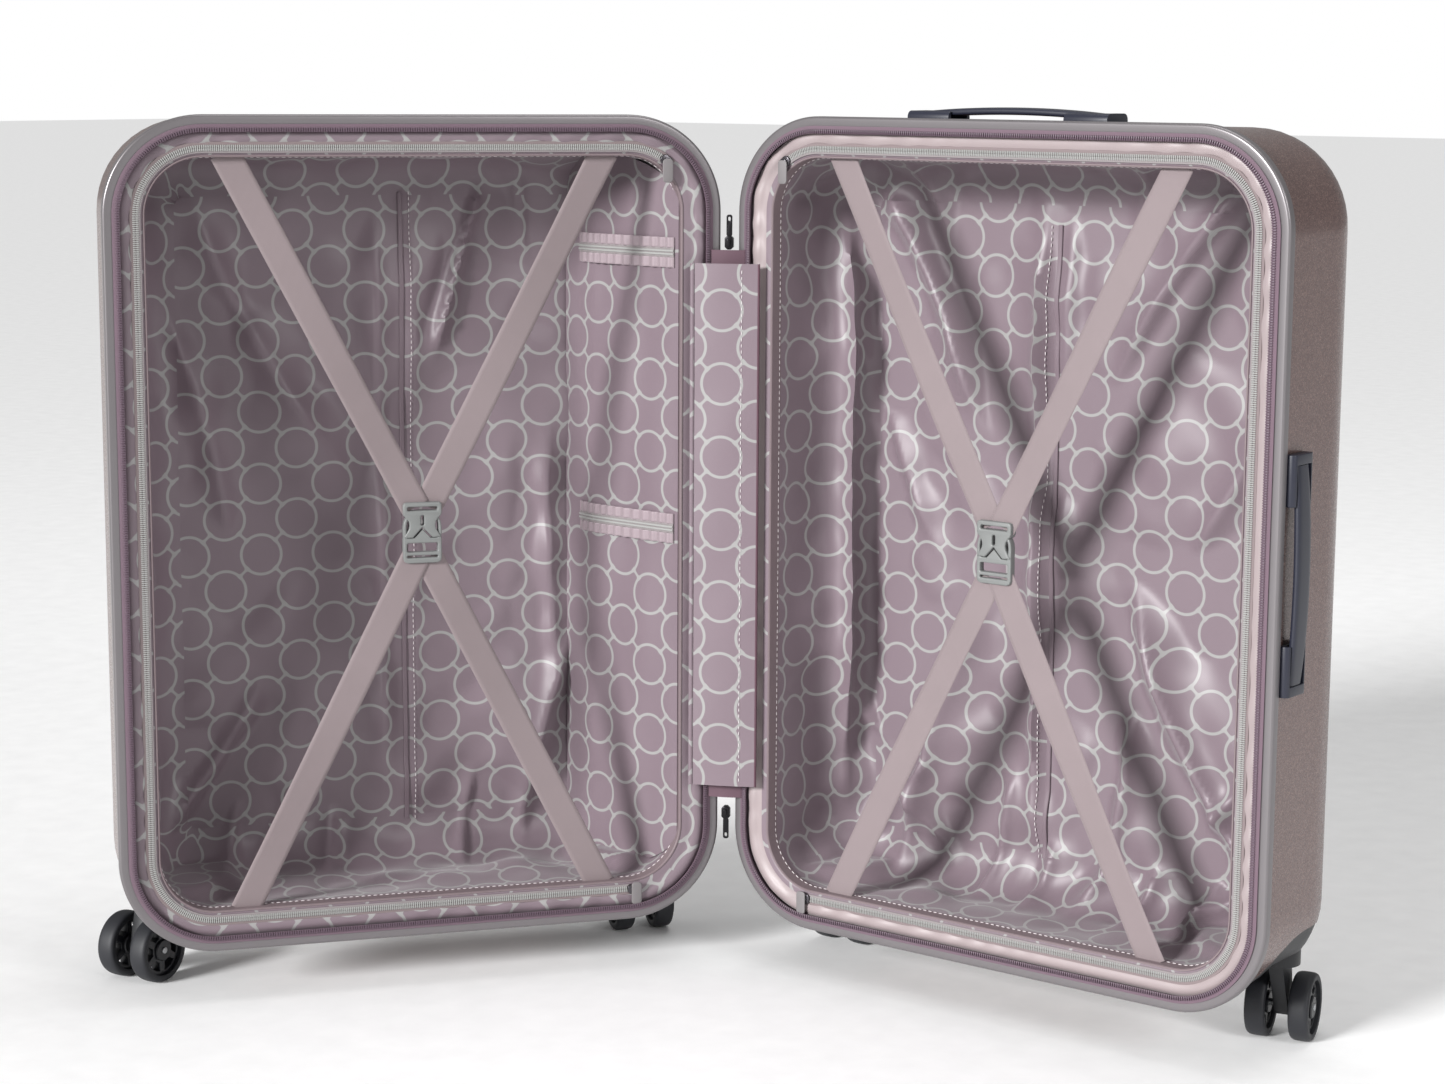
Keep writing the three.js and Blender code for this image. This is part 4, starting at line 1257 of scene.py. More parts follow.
    def build_housing(self, outer: bool) -> None:
        """Makes one wheel housing: a skin under the shell's form and a cup for the wheels."""
        case, half = self.case, self.half
        node = f"{half.name}_{'outer' if outer else 'hinge'}_wheel_housing"
        skin, floor = 3.0, -22.0
        made = make_object(f"{node}_moulded", half.put(self.envelope(0.9)), BLACK)
        cup = self.well(outer, skin, case.well_ceiling + skin, floor)
        around_cup = self.well(outer, skin, case.well_ceiling + skin, floor - 5)
        steps = [
            (Cut.AWAY, self.envelope(0.9 + skin)),
            (Cut.WITHIN, self.housing_volume(outer, 0.0)),
        ]
        carve(made, [(how, half.put(tool)) for how, tool in steps])
        inner = make_object("cup", half.put(self.envelope(0.9)), BLACK)
        carve(inner, [(Cut.WITHIN, half.put(cup)), (Cut.WITHIN, half.put(around_cup))])
        space = half.put(self.well(outer, 0.0, case.well_ceiling, floor - 20))
        carve(made, [(Cut.WITH, inner)])
        carve(made, [(Cut.AWAY, space)])
        finish_piece(made, half.body, "wheel_housing", node)


@dataclass
class Rim:
    """The grey strip round a shell's edge, the main zip's tape and its row of coil teeth."""

    case: Case
    half: Half
    counts: Counts = Counts(28, 40, 56)
    tooth_pitch: float = 2.0
    tooth_inset: float = 12.3

    def strip(self) -> Surface:
        """Section of the strip: a rounded outer edge, a shallow groove and a thin inner lip."""
        corner = np.radians(np.linspace(0, 90, 6))
        outer = [(2.6 - 2.6 * math.sin(a), 4.0 + 2.6 - 2.6 * math.cos(a)) for a in corner]
        profile = [*outer, (0.0, 12.0), (9.0, 12.0), (9.0, 4.9), (8.2, 4.2), (5.6, 4.0)]
        return band(self.case, profile, self.counts)

    def tape(self) -> Surface:
        """Section of the tape: from inside the strip it turns out over it and lies nearly flat."""
        profile = [(7.7, 3.6), (7.7, 2.9), (10.2, 2.3), (13.9, 1.7), (14.1, 2.4)]
        profile += [(10.9, 3.2), (10.6, 11.6), (9.5, 11.6), (9.5, 3.6)]
        return band(self.case, profile, self.counts)

    def tooth(self) -> Surface:
        """One turn of the coil: a small rounded bar across the tape's edge."""
        along = superellipse(1.35, 1.5, 3.0, 8)
        rows = [(0.55, -1.9), (1.0, -1.3), (1.0, 1.3), (0.55, 1.9)]
        points = np.array([[(x * k, 1.35 + y * k, z) for x, y in along] for k, z in rows])
        return grid(points, close_columns=True, capped=True).outward()

    def build(self) -> None:
        """Makes the strip, the tape and the teeth."""
        case, half = self.case, self.half
        name, body = half.name, half.body
        strip = half.put(self.strip())
        add_piece(f"{name}_rim_strip", strip, RIM, body, "rim", f"{name}_rim")
        tape_surface = self.tape()
        girth = tape_surface.points[tape_surface.loops]
        tape_surface.uv = np.stack([girth[:, 0] + girth[:, 2], girth[:, 0] - girth[:, 2]], 1) * MM
        tape = half.put(tape_surface)
        add_piece(f"{name}_main_zip_tape", tape, TAPE, body, "zip_tape", f"{name}_zip_tape")
        coil = ring_path(case, self.tooth_inset, self.counts)
        teeth = half.put(coil.repeated(self.tooth(), self.tooth_pitch))
        add_piece(f"{name}_main_zip_teeth", teeth, TEETH, body, "zip_tape")


@dataclass(frozen=True)
class Fold:
    """A fold of the lining between two places, in millimetres of the rolled-out cloth."""

    start: tuple[float, float]
    end: tuple[float, float]
    width: float
    height: float
    bow: float = 0.0

    def lift(self, where: Array) -> Array:
        """How far the cloth stands out: a ridge exp(-1.6 x^2 / (0.2 + |x|)), narrow at its
        crest, with a hollow beside it, fading at its ends.

        Args:
            where: (n, 2) places on the rolled-out cloth.
        """
        start, run = np.array(self.start), np.subtract(self.end, self.start)
        length = np.linalg.norm(run)
        along = run / length
        side = np.array([-along[1], along[0]])
        u = (where - start) @ along / length
        x = ((where - start) @ side - self.bow * np.sin(np.pi * np.clip(u, 0, 1))) / self.width
        fade = smooth_step(u / 0.25) * smooth_step((1 - u) / 0.25)
        crest = np.exp(-1.6 * x**2 / (0.2 + np.abs(x)))
        return self.height * fade * (crest - 0.45 * np.exp(-((x - 1.5) ** 2)))


@dataclass
class Lining:
    """The satin lining of a half: a rolled flange, straight walls and a creased floor."""

    case: Case
    half: Half
    folds: Sequence[Fold]
    counts: Counts = Counts(20, 96, 134)
    mouth: float = 34.0
    seam_off: float = 8.0
    stitches_off: float = 7.5
    stitch_pitch: float = 5.0
    rolled_rows: int = 9
    seed: int = 7

    def profile(self) -> Array:
        """(inset, q) pairs: out of the rim, over a soft roll, under the zip, back to the floor."""
        roll = [
            (11.6, 11.5), (12.0, 9.0), (13.4, 7.2), (15.4, 6.1), (17.8, 5.6), (20.2, 5.9),
            (22.2, 6.7), (23.8, 7.6), (27.5, 7.9), (31.4, 7.8), (33.0, 8.2),
        ]
        wall = wall_profile(self.mouth, 10.0, self.half.floor, 38.0, 5.5)
        return np.vstack([np.array(roll), wall])

    def surface(self) -> Surface:
        """The lining with its folds, lifted over the wheel wells and the trolley's cup."""
        case, half = self.case, self.half
        made = tray(case, self.profile(), self.counts)
        sheet, where = made.surface, made.unrolled
        if sheet.normals()[made.wall_points + 500, 1] > 0:
            sheet = sheet.flipped()
        normals = sheet.normals()
        depth = sheet.points[:, 1]
        free = smooth_step((depth - 22) / 45)
        raised = self.lift(where) * free
        around = len(ring(self.case, 10, self.counts))
        girth = np.arange(around) * 2400.0 / around
        gather = 0.45 * np.sin(girth / 5.1 + 3 * np.sin(girth / 47)) * (1 + np.sin(girth / 83))
        rolled = smooth_step(np.array([0, 0, 0.5, 1, 1, 1, 1, 0.5, 0]))[:, None] * gather
        raised[: rolled.size] += rolled.ravel()
        points = sheet.points + normals * raised[:, None]
        points = self.over_obstacles(points)
        points[:, 1] = np.minimum(points[:, 1], half.floor + 1.5)
        return Surface(points, sheet.loops, sheet.sizes, sheet.uv)

    def lift(self, where: Array) -> Array:
        """How far the cloth stands off its wall or floor: its folds and a few long, slack waves.

        Args:
            where: (n, 2) places on the rolled-out cloth.

        Returns:
            Millimetres towards the open side.
        """
        lift = sum(fold.lift(where) for fold in self.folds)
        random = np.random.default_rng(self.seed)
        for length in (170.0, 105.0, 64.0, 41.0):
            for _ in range(3):
                angle, phase = random.uniform(0, np.pi), random.uniform(0, 2 * np.pi)
                wave = where @ (np.cos(angle), np.sin(angle)) * 2 * np.pi / length
                lift = lift + 0.011 * length * np.sin(wave + phase)
        return np.maximum(lift, -3.0)

    def over_obstacles(self, points: Array) -> Array:
        """Raises the cloth where a wheel well or the trolley's cup stands behind it.

        Args:
            points: of the lining, in the half frame.

        Returns:
            The points, raised.
        """
        case = self.case
        points = points.copy()
        ceiling = case.well_ceiling + 7.5
        for s in (case.caster_inset, case.width - case.caster_inset):
            off = np.hypot(points[:, 0] - s, points[:, 1] - case.caster_depth)
            share = smooth_step((case.well_radius + 18 - off) / 14)
            low = np.clip(ceiling - points[:, 2], 0, None)
            points[:, 2] += low * share
        if self.half.name == "back":
            beside = smooth_step((128 - np.abs(points[:, 0] - case.width / 2)) / 12)
            above = smooth_step((points[:, 2] - 634) / 10)
            too_deep = np.clip(points[:, 1] - 111.5, 0, None)
            points[:, 1] -= too_deep * beside * above
        return points

    def build_seam(self) -> None:
        """Makes the floor's upright seam: a narrow felled strip and a row of stitches beside it."""
        half, case = self.half, self.case
        name = f"{half.name}_lining_seam"
        middle = case.width / 2 - self.seam_off
        t = np.linspace(70, case.height - (88 if half.name == "back" else 70), 150)
        lines = []
        for s in (middle, middle - self.stitches_off):
            lift = self.lift(np.column_stack([np.full_like(t, s), t]))
            depth = half.floor - np.maximum(lift, -1.5) - 1.2
            lines.append(np.column_stack([np.full_like(t, s), depth, t]))
        strip = half.put(ribbon(lines[0], np.array([1.0, 0.0, 0.0]), 4.2, 1.6))
        add_piece(name, strip, UNPRINTED, half.body, "lining", sharp=60)
        rows = np.arange(t[0], t[-1], self.stitch_pitch)
        places = np.stack([np.interp(rows, t, c) for c in lines[1].T], axis=1)
        sewn = half.put(copies(upright(stitch(3.2, 0.8)), places))
        add_piece(f"{name}_stitches", sewn, THREAD, half.body, "lining", sharp=60)

    def build(self) -> None:
        """Makes the lining as a sheet of cloth."""
        half = self.half
        surface = self.surface()
        lining = make_object(f"{half.name}_lining_cloth", half.put(surface), LINING, 80)
        if half.name == "back":
            # The back half's rolled flange takes the lighter, unprinted copy of the lining: painted
            # light on the roll.
            lining.data.materials.append(LIT_ROLL_SATIN.material())
            around = len(ring(self.case, 10, self.counts))
            rolled = surface.loops.reshape(-1, 4).max(axis=1) < self.rolled_rows * around
            lining.data.polygons.foreach_set("material_index", rolled.astype(np.int32))
        self.build_seam()
        thick = lining.modifiers.new("cloth", "SOLIDIFY")
        thick.thickness, thick.offset = 0.6 * MM, -1.0
        settle(lining, 80)
        finish_piece(lining, half.body, "lining", f"{half.name}_lining")


def ribbon(line: Array, across: Array, width: float, thickness: float) -> Surface:
    """A closed strip of webbing or tape with rounded edges, carried along a line.

    Args:
        line: (n, 3) middle of the strip.
        across: (3,) or (n, 3) unit directions across it.
        width: across the strip.
        thickness: through the strip.

    Returns:
        The strip, with cloth coordinates across and along it.
    """
    tangent = np.gradient(line, axis=0)
    tangent /= np.linalg.norm(tangent, axis=1, keepdims=True)
    across = np.broadcast_to(across, line.shape)
    normal = np.cross(tangent, across)
    side = np.linspace(-1, 1, 9)
    half = width / 2 - thickness * 0.35
    upper = np.column_stack([side * half, np.full(9, thickness / 2)])
    edge = np.array([[width / 2, 0.0]])
    section = np.vstack([upper, edge, upper[::-1] * (1, -1), -edge])
    points = line[:, None] + across[:, None] * section[:, 0, None]
    points = points + normal[:, None] * section[:, 1, None]
    distance = np.concatenate([[0], np.cumsum(np.linalg.norm(np.diff(line, axis=0), axis=1))])
    place = np.append(section[:, 0], section[0, 0])
    uv = np.stack(np.broadcast_arrays(place, distance[:, None]), axis=-1) * MM
    return grid(points, close_columns=True, uv=uv, capped=True).outward()


def stitch(length: float, thread: float, depth: float = 0.0, out: float = 0.0) -> Surface:
    """One stitch: a short thread that dips in at both ends, as a piece for a path.

    Args:
        length: along the line.
        thread: thickness.
        depth: y of its middle.
        out: z of its middle.
    """
    along = np.linspace(-1, 1, 5)
    turn = np.linspace(0, 2 * np.pi, 6, endpoint=False)
    size = thread / 2 * np.sqrt(np.clip(1.05 - along**2, 0.05, 1))
    y, z = depth + size[:, None] * np.cos(turn), out + size[:, None] * np.sin(turn)
    points = np.stack([np.broadcast_to(along[:, None] * length / 2, y.shape), y, z], axis=-1)
    return grid(points, close_columns=True, capped=True).outward()


def upright(one: Surface) -> Surface:
    """A stitch made for a path, turned to run along t."""
    return one.moved(lambda p: p[:, [1, 2, 0]])


@dataclass
class LiningZip:
    """The coil zip that lets the lining open, its two tapes, and its pull tabs."""

    case: Case
    half: Half
    inset: float = 27.0
    top_turn: float = 44.0
    bottom_turn: float = 12.0
    pitch: float = 1.7

    def path(self, inset: float) -> Path:
        """From the upper hinge-side corner, over the top and outer side, to the lower corner."""
        case = self.case
        radius = case.corner - inset
        low, right, top = case.corner, case.width - case.corner, case.height - case.corner
        arcs = [
            ((low, top), 90 + self.top_turn, 90),
            ((right, top), 90, 0),
            ((right, low), 0, -90),
            ((low, low), -90, -90 - self.bottom_turn),
        ]
        points, normals = [], []
        for number, (centre, first, last) in enumerate(arcs):
            angle = np.radians(np.linspace(first, last, 15))
            out = np.stack([np.cos(angle), np.sin(angle)], axis=1)
            if number:
                blend = np.linspace(0, 1, 24)[1:-1, None]
                here = points[-1][-1] + (np.add(centre, radius * out[0]) - points[-1][-1]) * blend
                points.append(here)
                normals.append(np.repeat(out[:1], len(here), axis=0))
            points.append(np.add(centre, radius * out))
            normals.append(out)
        return Path(np.concatenate(points), np.concatenate(normals))

    def strip(self, inset: float, width: float, depth: float) -> Surface:
        """One tape of the zip, flat on the lining."""
        path = self.path(inset)
        line = np.insert(path.points, 1, depth, axis=1)
        return ribbon(line, np.insert(path.normals, 1, 0.0, axis=1), width, 0.9)

    def tooth(self) -> Surface:
        """One turn of the coil across both tapes, as a rounded bar with a dip in its middle."""
        across = np.array([-2.6, -2.1, -0.7, 0.0, 0.7, 2.1, 2.6])
        size = np.array([0.35, 0.62, 0.62, 0.45, 0.62, 0.62, 0.35])
        turn = np.linspace(0, 2 * np.pi, 6, endpoint=False)
        x, y = size[:, None] * np.cos(turn), 6.0 - size[:, None] * np.sin(turn)
        points = np.stack([x, y, np.broadcast_to(across[:, None], x.shape)], axis=-1)
        return grid(points, close_columns=True, capped=True).outward()

    def build(self) -> None:
        """Makes the tapes, the coil, the sliders and the pull tabs."""
        half, node = self.half, f"{self.half.name}_lining_zip"
        coil = self.path(self.inset).repeated(self.tooth(), self.pitch)
        parts = [
            ("tape_inner", self.strip(29.2, 4.0, 6.7), COIL_TAPE, [node]),
            ("tape_outer", self.strip(24.5, 5.0, 6.9), TAPE_DARK, []),
            ("coil", coil, COIL, []),
        ]
        for name, part, finish, stands_for in parts:
            name, placed = f"{node}_{name}", half.put(part)
            add_piece(name, placed, finish, half.body, "lining_zip", *stands_for)
        for end in ("top", "bottom"):
            self.build_slider(end)
            pull = f"{half.name}_lining_pull_{end}"
            body = f"{half.name}_pull_{end}"
            finish_piece(softened(pull, 0.6, PULL), body, "pull_rubber", pull)

    def build_slider(self, end: str) -> None:
        """Makes a plated slider that straddles the coil at one end of the zip."""
        half = self.half
        path = self.path(self.inset)
        place, out = path.at(np.array([6.0 if end == "top" else path.length[-1] - 6.0]))
        side = [(-5.5, 2.6), (-3.5, 4.2), (3.0, 4.2), (5.5, 2.2)]
        outline = np.array([(x, -z) for x, z in side] + side[::-1])
        body = flat_part(outline, [], 3.4, 0.7)
        bridge = flat_part(rounded_rectangle(6.0, 2.6, 0.9, 3), [], 2.2, 0.5)
        bridge = bridge.moved(lambda p: p + (0.0, -2.2, 0.0))
        one = joined([body, bridge])
        along = np.array([out[0, 1], -out[0, 0]])
        x, y, z = one.points.T
        flat = place[0] + np.outer(x, along) + np.outer(z, out[0])
        points = np.column_stack([flat[:, 0], 5.9 + y, flat[:, 1]])
        slider = half.put(Surface(points, one.loops, one.sizes).outward())
        name = f"{half.name}_lining_slider_{end}"
        add_piece(name, slider, NICKEL, half.body, "slider_metal")


@dataclass
class MouthBinding:
    """The sewn strip inside the lining's opening and the rows of stitches beside it."""

    case: Case
    half: Half
    counts: Counts = Counts(28, 40, 56)

    def build(self) -> None:
        """Makes the strip and its stitches."""
        case, half = self.case, self.half
        profile = [(33.0, 7.4), (32.6, 8.2), (33.6, 20.4), (34.4, 20.6)]
        profile += [(34.9, 20.2), (34.6, 8.2), (34.0, 7.4)]
        strip = half.put(band(case, profile, self.counts))
        add_piece(f"{half.name}_mouth_binding", strip, BINDING, half.body, "lining")
        inside = ring_path(case, 35.0, self.counts).repeated(stitch(3.4, 0.75, 18.2), 5.2)
        add_piece(f"{half.name}_mouth_stitches", half.put(inside), THREAD, half.body, "lining")


def both_sides(right: Sequence[tuple[float, float]]) -> Array:
    """A whole outline from its right side, which starts on the middle line."""
    return np.array([*right, *[(-x, z) for x, z in right[:0:-1]]])


@dataclass
class Straps:
    """Crossed luggage straps over a half, with a side-release buckle in the middle."""

    case: Case
    half: Half
    width: float = 25.0
    thickness: float = 1.3
    depth: float = 14.6
    middle: float = 346.0
    spread: tuple[float, float] = (158.0, 154.0)

    def leg(self, side: int, upper: bool) -> Surface:
        """One leg from its anchor to the buckle; it bows out and twists a little on the way.

        Args:
            side: -1 for the hinge side, 1 for the outer side.
            upper: whether it goes up from the buckle.

        Returns:
            The webbing, in the half frame.
        """
        case = self.case
        reach = self.spread[0] if upper else self.spread[1]
        end = case.height - 31.0 if upper else 31.0
        stop = self.middle + (25.5 if upper else -17.5)
        start = np.array([case.width / 2 + side * (reach + 1.5), end])
        apex = np.array([case.width / 2 + side * 5.5, stop])
        u = np.linspace(0, 1, 40)
        flat = start + (apex - start) * u[:, None]
        depth = self.depth - 0.5 * side * smooth_step((u - 0.7) / 0.3) - 1.5 * np.sin(np.pi * u)
        line = np.column_stack([flat[:, 0], depth, flat[:, 1]])
        run = (apex - start) / np.linalg.norm(apex - start)
        twist = 0.10 * side * np.sin(2 * np.pi * u)
        flat_turn = np.cos(twist)
        across = np.column_stack([-run[1] * flat_turn, np.sin(twist), run[0] * flat_turn])
        return ribbon(line, across, self.width, self.thickness)

    def socket(self) -> Surface:
        """The buckle's socket: a top bar, a waisted body, a slit and an open wedge below it."""
        right = [(0.0, 8.6), (0.9, 7.9), (8.4, 0.0), (15.6, 0.0), (15.9, 1.2), (13.6, 4.0)]
        right += [(11.6, 7.5), (11.0, 10.5), (11.6, 13.5), (13.4, 16.4), (15.6, 18.4)]
        right += [(16.5, 20.6), (16.5, 27.6), (15.6, 29.4), (14.0, 30.0)]
        slot = rounded_rectangle(25.6, 3.2, 1.0, 3) + (0.0, 24.6)
        slit = rounded_rectangle(2.8, 8.5, 1.3, 4) + (0.0, 14.6)
        return flat_part(both_sides(right), [slot, slit], 9.0, 1.1)

    def plug(self) -> Surface:
        """The buckle's plug: a frame for the webbing, a middle nose and two bowed prongs."""
        right = [(0.0, 7.0), (7.0, -0.4), (12.6, -0.4), (13.4, 4.0), (13.7, 8.5), (13.2, 12.5)]
        right += [(11.9, 16.0), (12.8, 17.4), (14.4, 16.4), (15.8, 13.2), (16.5, 8.8), (16.5, 4.0)]
        right += [(16.2, 0.4), (16.5, -2.0), (16.5, -18.0), (15.4, -20.8), (12.6, -22.0)]
        upper = rounded_rectangle(26.4, 7.6, 1.4, 3) + (0.0, -8.6)
        lower = rounded_rectangle(26.4, 2.0, 0.9, 3) + (0.0, -16.4)
        return flat_part(both_sides(right), [upper, lower], 7.0, 1.0)

    def build(self) -> None:
        """Makes the four legs and the buckle's two parts."""
        half, name = self.half, self.half.name
        for upper in (True, False):
            level = "upper" if upper else "lower"
            for side, which in ((-1, "hinge"), (1, "outer")):
                surface = self.leg(side, upper)
                leg = make_object(f"{name}_webbing_{level}_{which}", half.put(surface), WEBBING, 60)
                if upper:
                    finish_piece(leg, half.body, "webbing", f"{name}_strap_upper")
                else:
                    self.follow_plug(leg, side)
                flat = (self.width * MM, float(np.ptp(surface.uv[:, 1])))
        at = np.array([self.case.width / 2, 14.0, self.middle])
        parts = [("socket", half.body, self.socket()), ("plug", f"{name}_plug", self.plug())]
        for part, body, surface in parts:
            node = f"{name}_buckle_{part}"
            placed = half.put(surface.moved(lambda p: p + at))
            add_piece(f"{node}_moulded", placed, BUCKLE, body, "buckle", node)

    def follow_plug(self, leg: Piece, side: int) -> None:
        """Bakes a lower leg's place into its mesh and hides the frame's lower strap; the leg does
        not follow the plug.
        """
        half, case = self.half, self.case
        anchor = np.array([case.width / 2 + side * self.spread[1], self.depth, 31.0])
        apex = np.array([case.width / 2 + side * 5.5, self.depth, self.middle - 25.0])
        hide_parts(f"{half.name}_strap_lower")
        half.body
        half.place(anchor)
        half.place(apex)
        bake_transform(leg)
        LOG.info("%s follows the plug", leg.name)


@dataclass
class Flap:
    """The cloth flap that covers the fabric hinge between the two halves."""

    case: Case
    back: Half
    front: Half
    reach: float = 27.0
    depth: float = -1.4
    low: float = 120.0
    high: float = 575.0

    def span(
        self, t: Array, lift: float, reach: float | None = None, depth: float | None = None
    ) -> Array:
        """Rows across at heights t: a chord between the halves with a slight bow.

        Args:
            t: heights.
            lift: how far the rows stand out from the cloth's middle.
            reach: s of both ends, or the flap's own.
            depth: q of both ends, or the flap's own.

        Returns:
            (heights, 25, 3) points in millimetres.
        """
        reach = self.reach if reach is None else reach
        depth = self.depth if depth is None else depth
        u = np.linspace(0, 1, 25)
        ends = []
        for half in (self.back, self.front):
            points = np.column_stack([np.full(len(t), reach), np.full(len(t), depth), t])
            ends.append(half.place(points) / MM)
        right, left = ends[0][:, None], ends[1][:, None]
        chord = right + (left - right) * u[None, :, None]
        run = (left - right)[0, 0] / np.linalg.norm((left - right)[0, 0])
        out = np.array([-run[1], run[0], 0.0])
        toward = self.back.place(np.array([reach, -40.0, 300.0])) / MM - ends[0][0]
        out *= np.sign(out @ toward)
        ripple = 0.5 * np.sin(t[:, None] / 31.0 + 2 * u) + 0.3 * np.sin(t[:, None] / 13.0)
        bow = (1.8 + ripple) * np.sin(np.pi * u) + lift
        return chord + out * bow[..., None]

    def sheet(self, low: float, high: float, reach: float, depth: float) -> Surface:
        """Both faces of a strip of cloth between the halves.

        Args:
            low: lowest t.
            high: highest t.
            reach: s of its sides.
            depth: q of its sides.

        Returns:
            The cloth, in millimetres.
        """
        t = np.linspace(low, high, 96)
        outer = self.span(t, 0.6, reach, depth)
        inner = self.span(t, -0.6, reach, depth)[:, ::-1]
        points = np.concatenate([outer, inner], axis=1)
        across = np.linspace(0, 1, 25) * np.linalg.norm(outer[0, -1] - outer[0, 0])
        across = np.concatenate([across, across[::-1], across[:1]])
        uv = np.stack(np.broadcast_arrays(across, t[:, None]), axis=-1) * MM
        return grid(points, close_columns=True, uv=uv, capped=True).outward()

    def edge(self, column: int, radius: float) -> Surface:
        """A rolled edge: a tube carried up one side of the flap.

        Args:
            column: which column of the flap's rows it follows.
            radius: of the roll.

        Returns:
            The tube, in millimetres.
        """
        line = self.span(np.linspace(self.low, self.high, 60), 0.3)[:, column]
        turn = np.linspace(0, 2 * np.pi, 12, endpoint=False)
        around = np.stack([np.cos(turn), np.sin(turn), 0 * turn], axis=1) * radius
        tube = line[:, None] + around
        around_uv = np.linspace(0, 2 * np.pi * radius, 13)
        uv = np.stack(np.broadcast_arrays(around_uv, line[:, 2, None]), axis=-1) * MM
        return grid(tube, close_columns=True, uv=uv, capped=True).outward()

    def build(self) -> None:
        """Makes the cloth, its rolled edge, its dark piping and a row of stitches."""
        rows = self.span(np.arange(self.low + 6, self.high - 4, 5.2), 1.0)
        stitches = copies(upright(stitch(3.3, 0.7)), rows[:, 6])
        cloth = self.sheet(self.low, self.high, self.reach, self.depth)
        parts = [
            ("hinge_flap_cloth", cloth, LINING),
            ("hinge_gusset", self.sheet(self.low - 13, self.high + 11, 9.6, 2.6), GUSSET),
            ("hinge_flap_roll", self.edge(-1, 2.1), LINING),
            ("hinge_flap_piping", self.edge(0, 1.0), PIPING),
            ("hinge_flap_stitches", stitches, THREAD),
        ]
        start = self.back.place(np.array([self.reach, 0.0, 300.0]))
        end = self.front.place(np.array([self.reach, 0.0, 300.0]))
        for name, surface, finish in parts:
            piece = make_object(name, surface.moved(lambda p: p * MM), finish, 60)
            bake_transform(piece)
            if name == "hinge_flap_cloth":
                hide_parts("hinge_flap")
                flat = (float(np.ptp(surface.uv[:, 0])), (self.high - self.low) * MM)
            LOG.info("%s bends between the halves", name)


@dataclass
class Pocket:
    """The slanting pocket panel on the front half's hinge side, with two coil zips across it."""

    case: Case
    half: Half
    zips: tuple[float, float] = (344.0, 583.0)
    bend: float = 38.0

    def section(self, u: Array) -> tuple[Array, Array]:
        """s and q across the panel: straight down from the mouth, then bending on to the floor."""
        s = np.interp(u, [0, 0.72, 0.86, 1.0], [35.5, 88.0, 96.0, 103.0])
        q = np.interp(u, [0, 0.72, 0.86, 1.0], [12.5, 98.0, 120.0, self.half.floor - 1.0])
        return s, q

    def surface(self, u: Array, t: Array, lift: Array) -> Array:
        """Places on the panel, raised towards the open side by lift."""
        s, q = self.section(u)
        out = np.array([0.85, -0.53])
        return np.stack([s + out[0] * lift, q + out[1] * lift, t], axis=-1)

    def ends(self, u: Array) -> tuple[Array, Array]:
        """Lowest and highest t of the panel where it meets the lining's wall."""
        s, q = self.section(u)
        corner = self.case.corner
        radius = corner - 34.0
        low = corner - np.sqrt(radius**2 - np.clip(corner - s, 0, radius) ** 2)
        share = np.clip((q - self.half.floor + self.bend) / self.bend, 0, 1)
        low = low + self.bend * (1 - np.sqrt(1 - share**2))
        return low, self.case.height - low

    def cloth(self) -> Surface:
        """The panel: it puffs out between the zips, with soft upright and slanting creases."""
        u = np.linspace(0, 1, 34)[None, :]
        v = np.linspace(0, 1, 150)[:, None]
        low, high = self.ends(u)
        t = low + (high - low) * v
        puff = 3.0 * np.sin(np.pi * u) * np.abs(np.sin(np.pi * (t - 105) / 239.0)) ** 0.6
        crease = 1.1 * np.sin(u * 15 + t / 70) + 0.8 * np.sin(t / 27 - 6 * u)
        zip_line = sum(np.exp(-(((t - z) / 7.0) ** 2)) for z in self.zips)
        lift = puff + crease * np.sin(np.pi * u) * (1 - np.clip(zip_line, 0, 1))
        points = self.surface(np.broadcast_to(u, t.shape), t, lift)
        s, q = self.section(u[0])
        across = np.concatenate([[0], np.cumsum(np.hypot(np.diff(s), np.diff(q)))])
        uv = np.stack(np.broadcast_arrays(across, t), axis=-1) * MM
        return grid(points, uv=uv)

    def strip(self, level: float, width: float, lift: float, gather: float) -> Surface:
        """A strip across the panel at a height, gathered into small pleats."""
        u = np.linspace(0.03, 0.84, 140)
        pleat = gather * np.sin(2 * np.pi * u * 15 + 2 * np.sin(9 * u))
        line = self.surface(u, np.full_like(u, level), lift + pleat + 2.2 * np.sin(np.pi * u))
        return ribbon(line, np.array([0.0, 0.0, 1.0]), width, 0.9)

    def teeth(self, level: float) -> Surface:
        """Two rows of coil across the panel."""
        u = np.linspace(0.03, 0.84, 70)
        line = self.surface(u, np.full_like(u, level), 1.9 + 2.2 * np.sin(np.pi * u))
        parts = []
        for offset in (-1.4, 1.4):
            wave = line + (0.0, 0.0, offset)
            parts.append(ribbon(wave, np.array([0.0, 0.0, 1.0]), 1.9, 1.5))
        return joined(parts)

    def build(self) -> None:
        """Makes the panel, its zips and the gathered edging above and below each zip."""
        half = self.half
        surface = self.cloth()
        panel = make_object("front_pocket_cloth", half.put(surface), LINING, 80)
        thick = panel.modifiers.new("cloth", "SOLIDIFY")
        thick.thickness, thick.offset = 0.8 * MM, -1.0
        settle(panel, 80)
        finish_piece(panel, half.body, "lining", "front_pocket_panel")
        flat = (float(np.ptp(surface.uv[:, 0])), float(np.ptp(surface.uv[:, 1])))
        for number, level in enumerate(self.zips):
            parts = [
                ("tape", self.strip(level, 9.0, 1.0, 0.0), COIL_TAPE),
                ("coil", self.teeth(level), COIL),
                ("edging_above", self.strip(level + 8.5, 9.0, 1.5, 0.9), EDGING),
                ("edging_below", self.strip(level - 8.5, 9.0, 1.5, 0.9), EDGING),
            ]
            for name, part, finish in parts:
                name = f"pocket_zip_{number}_{name}"
                add_piece(name, half.put(part), finish, half.body, "lining", sharp=60)


